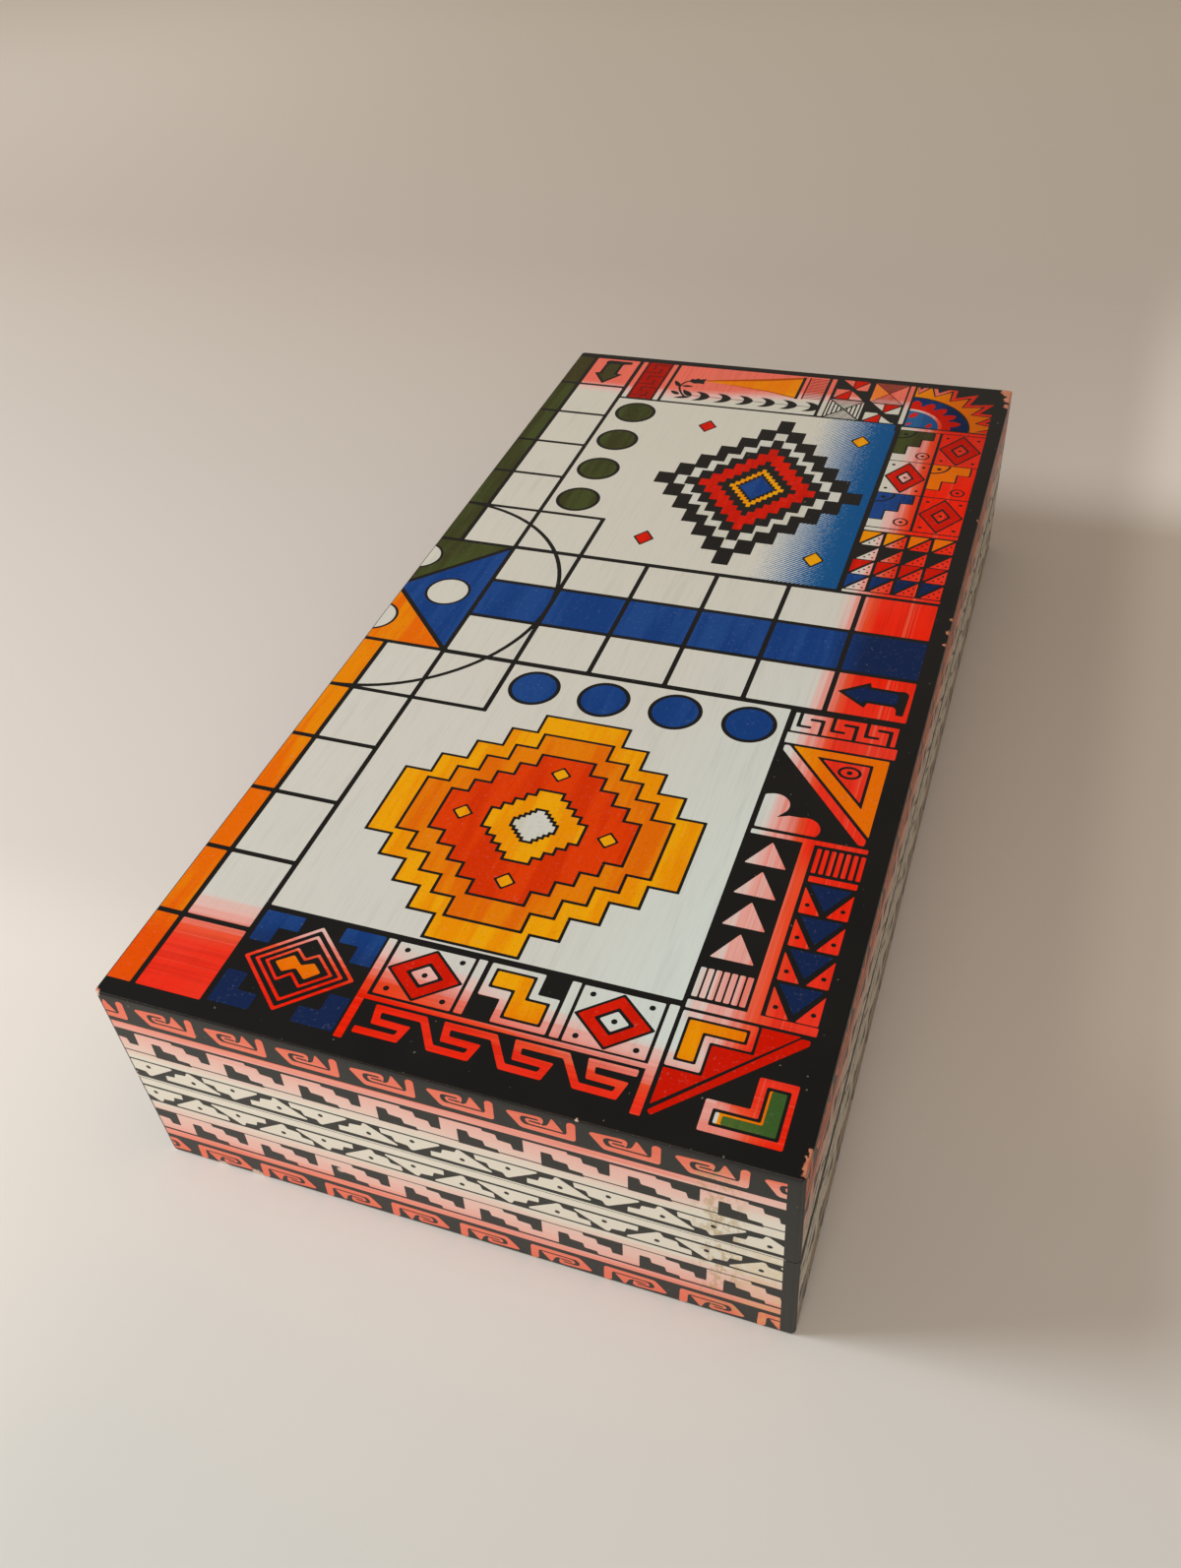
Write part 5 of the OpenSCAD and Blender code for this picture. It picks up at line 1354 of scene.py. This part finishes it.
def dice_pips():
    """Black paint in the hollows of both dice."""
    die_w, reach, r = 13, 3.1, 0.92
    first_y, pitch = -177.9, 20
    low, high = [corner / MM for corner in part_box("dice")]
    three = [(-1, -1), (0, 0), (1, 1)]
    numbers = [[(0, 0)], [(-1, -1), (1, 1)], three, CORNERS, [*CORNERS, (0, 0)], [*CORNERS, (-1, 0), (1, 0)]]
    turns = [(0, 0, 0), (90, 0, 0), (0, 90, 0), (0, -90, 0), (-90, 0, 0), (180, 0, 0)]
    verts, faces = [], []
    for k, (shown, turn) in enumerate(((2, 20), (5, 55))):
        die = Matrix.Translation(((low.x + high.x) / 2, first_y + pitch * k, low.z + die_w / 2))
        die = die @ Matrix.Rotation(math.radians(turn), 4, "Z") @ turned_by(turns[shown])
        for number, spots in zip(turns, numbers):
            for x, y in spots:
                spot = Matrix.Translation((x * reach, y * reach, die_w / 2))
                add_pip(verts, faces, die @ turned_by(number) @ spot, r)
    pips = new_object("dice_pips", [tuple(v * MM for v in vert) for vert in verts], faces)
    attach(pips, "dice_pair")
    return pips


def turned_by(angles):
    """The turn about x, then y, then z, in degrees."""
    x, y, z = (Matrix.Rotation(math.radians(a), 4, axis) for a, axis in zip(angles, "XYZ"))
    return z @ y @ x


def add_pip(verts, faces, place, r):
    """A dished disc of paint, just clear of its hollow."""
    count, deepest = 16, -0.46
    rings = ((r, -0.04), (r * 0.66, -0.28), (r * 0.33, -0.42))
    starts = [len(verts) + k * count for k in range(len(rings))]
    spots = [(x, y, z) for ring_r, z in rings for x, y in arc_points((0, 0), ring_r, 0, 360, count)[:-1]]
    verts += [tuple(place @ Vector(spot)) for spot in spots + [(0, 0, deepest)]]
    for first, second in zip(starts, starts[1:]):
        faces += walls_between(first, second, count)
    faces += [(starts[-1] + i, starts[-1] + (i + 1) % count, len(verts) - 1) for i in range(count)]


# Stage

def add_camera():
    """The photograph's view: a place in metres, and the ways that are right and ahead of it."""
    data = bpy.data.cameras.new("camera")
    data.lens = 30.85
    data.sensor_width = 36
    data.clip_start, data.clip_end = 0.01, 20
    camera = bpy.data.objects.new("camera", data)
    right = Vector((0.94041559, 0.33270747, -0.07017305))
    ahead = Vector((-0.28996659, 0.67691348, -0.67654085))
    up = right.cross(ahead)
    turned = Matrix((right, up, -ahead)).transposed().to_4x4()
    camera.matrix_world = Matrix.Translation((0.12625, -0.36697, 0.36044)) @ turned
    bpy.context.scene.collection.objects.link(camera)
    bpy.context.scene.camera = camera


def add_floor():
    """Pale paper with a soft change of tone from front to back, which is painted light and shade of the room.
    """
    reach = 6
    floor = new_object("floor", [(x * reach, y * reach, 0) for x, y in ((-1, -1), (1, -1), (1, 1), (-1, 1))],
                       [(0, 1, 2, 3)])
    s = Shader("floor_paper", 0.8)
    front, depth = -300, 1500
    base = s.ramp((s.y - front) * (1 / depth), (
        (0.0, srgb(217, 218, 214)), (0.12, srgb(229, 222, 215)), (0.2, srgb(224, 215, 208)),
        (0.33, srgb(213, 204, 195)), (0.53, srgb(204, 193, 181)), (0.9, srgb(221, 210, 195))))
    base = s.mix(s.noise((0.004, 0.004, 0), 3) * 0.06, base, srgb(200, 190, 176))
    # Painted light: lighter beside the box's shadow, at the near left and at the far left
    right_side = s.rise(s.x, 148, 182) * (s.rise(s.y, -130, -60) - s.rise(s.y, 300, 600))
    near_left = s.fall(s.x, -170, -60) * s.fall(s.y, -150, -90)
    far_left = s.fall(s.x, -1000, -300) * s.rise(s.y, 400, 950)
    for share, full in ((right_side, 0.65), (near_left, 0.6), (far_left, 0.36)):
        base = s.mix(share * full, base, srgb(250, 242, 232))
    set_material(floor, s.colour(base))


def add_area_light(name, place, target, size, power, colour):
    data = bpy.data.lights.new(name, "AREA")
    data.shape = "DISK"
    data.size = size
    data.energy = power
    data.color = colour
    light = bpy.data.objects.new(name, data)
    light.location = place
    light.rotation_euler = (Vector(target) - Vector(place)).to_track_quat("-Z", "Y").to_euler()
    bpy.context.scene.collection.objects.link(light)


def add_lights():
    """A cool window at the left, a warm room in front, and a little light from all around."""
    middle = (0, 0, 0.04)
    add_area_light("window", (-1.6, -0.48, 1.15), middle, size=0.75, power=29, colour=(0.9, 0.95, 1.0))
    add_area_light("room_fill", (0.35, -2.4, 0.95), middle, size=1.6, power=27, colour=(1.0, 0.94, 0.86))
    world = bpy.data.worlds.new("room")
    world.use_nodes = True
    background = world.node_tree.nodes["Background"]
    background.inputs["Color"].default_value = (1.0, 0.85, 0.7, 1)
    background.inputs["Strength"].default_value = 0.34
    bpy.context.scene.world = world


# The whole scene

HALVES = (("upper", SEAM_UPPER, 1, ("blue", "green", "yellow")),
          ("lower", SEAM_LOWER, -1, ("red", "yellow", "green")))
GROUNDS = {"ground": ground_material, "dusk": dusk_material}

add_camera()
for half, seam_z, up, players in HALVES:
    set_material(lacquer_shell(half, seam_z, up), lacquer_material(half, seam_z, up))
    for ink, piece in print_face(half, players, seam_z, up).items():
        set_material(piece, GROUNDS[ink](half) if ink in GROUNDS else ink_material(half, ink))
    set_material(print_sides(half, seam_z, up), band_material(half, seam_z, up))

wood_along_y, wood_along_x = wood_material("wood_lengthwise", "y"), wood_material("wood_crosswise", "x")
for half in ("lower", "upper"):
    for rail in ("panel", "hinge_rail", "opening_rail"):
        dress_node(f"{half}_{rail}", wood_along_y)
    for rail in ("front_rail", "back_rail"):
        dress_node(f"{half}_{rail}", wood_along_x)
brass = brass_material()
for name in [n for n in frame["nodes"] if "hinge_" in n and "rail" not in n or "screws" in n]:
    dress_node(name, brass)
for ink, colour in (("blue", srgb(24, 74, 150)), ("green", srgb(40, 110, 52)), ("red", srgb(200, 34, 24)),
                    ("yellow", srgb(240, 178, 24))):
    dress_node(f"{ink}_counters", paint_material(f"{ink}_counter_paint", colour))
dress_node("dice", paint_material("dice_ivory", srgb(236, 228, 204)))
set_material(dice_pips(), paint_material("pip_paint", srgb(20, 20, 20)))

add_floor()
add_lights()
bpy.context.scene.view_settings.view_transform = "Standard"
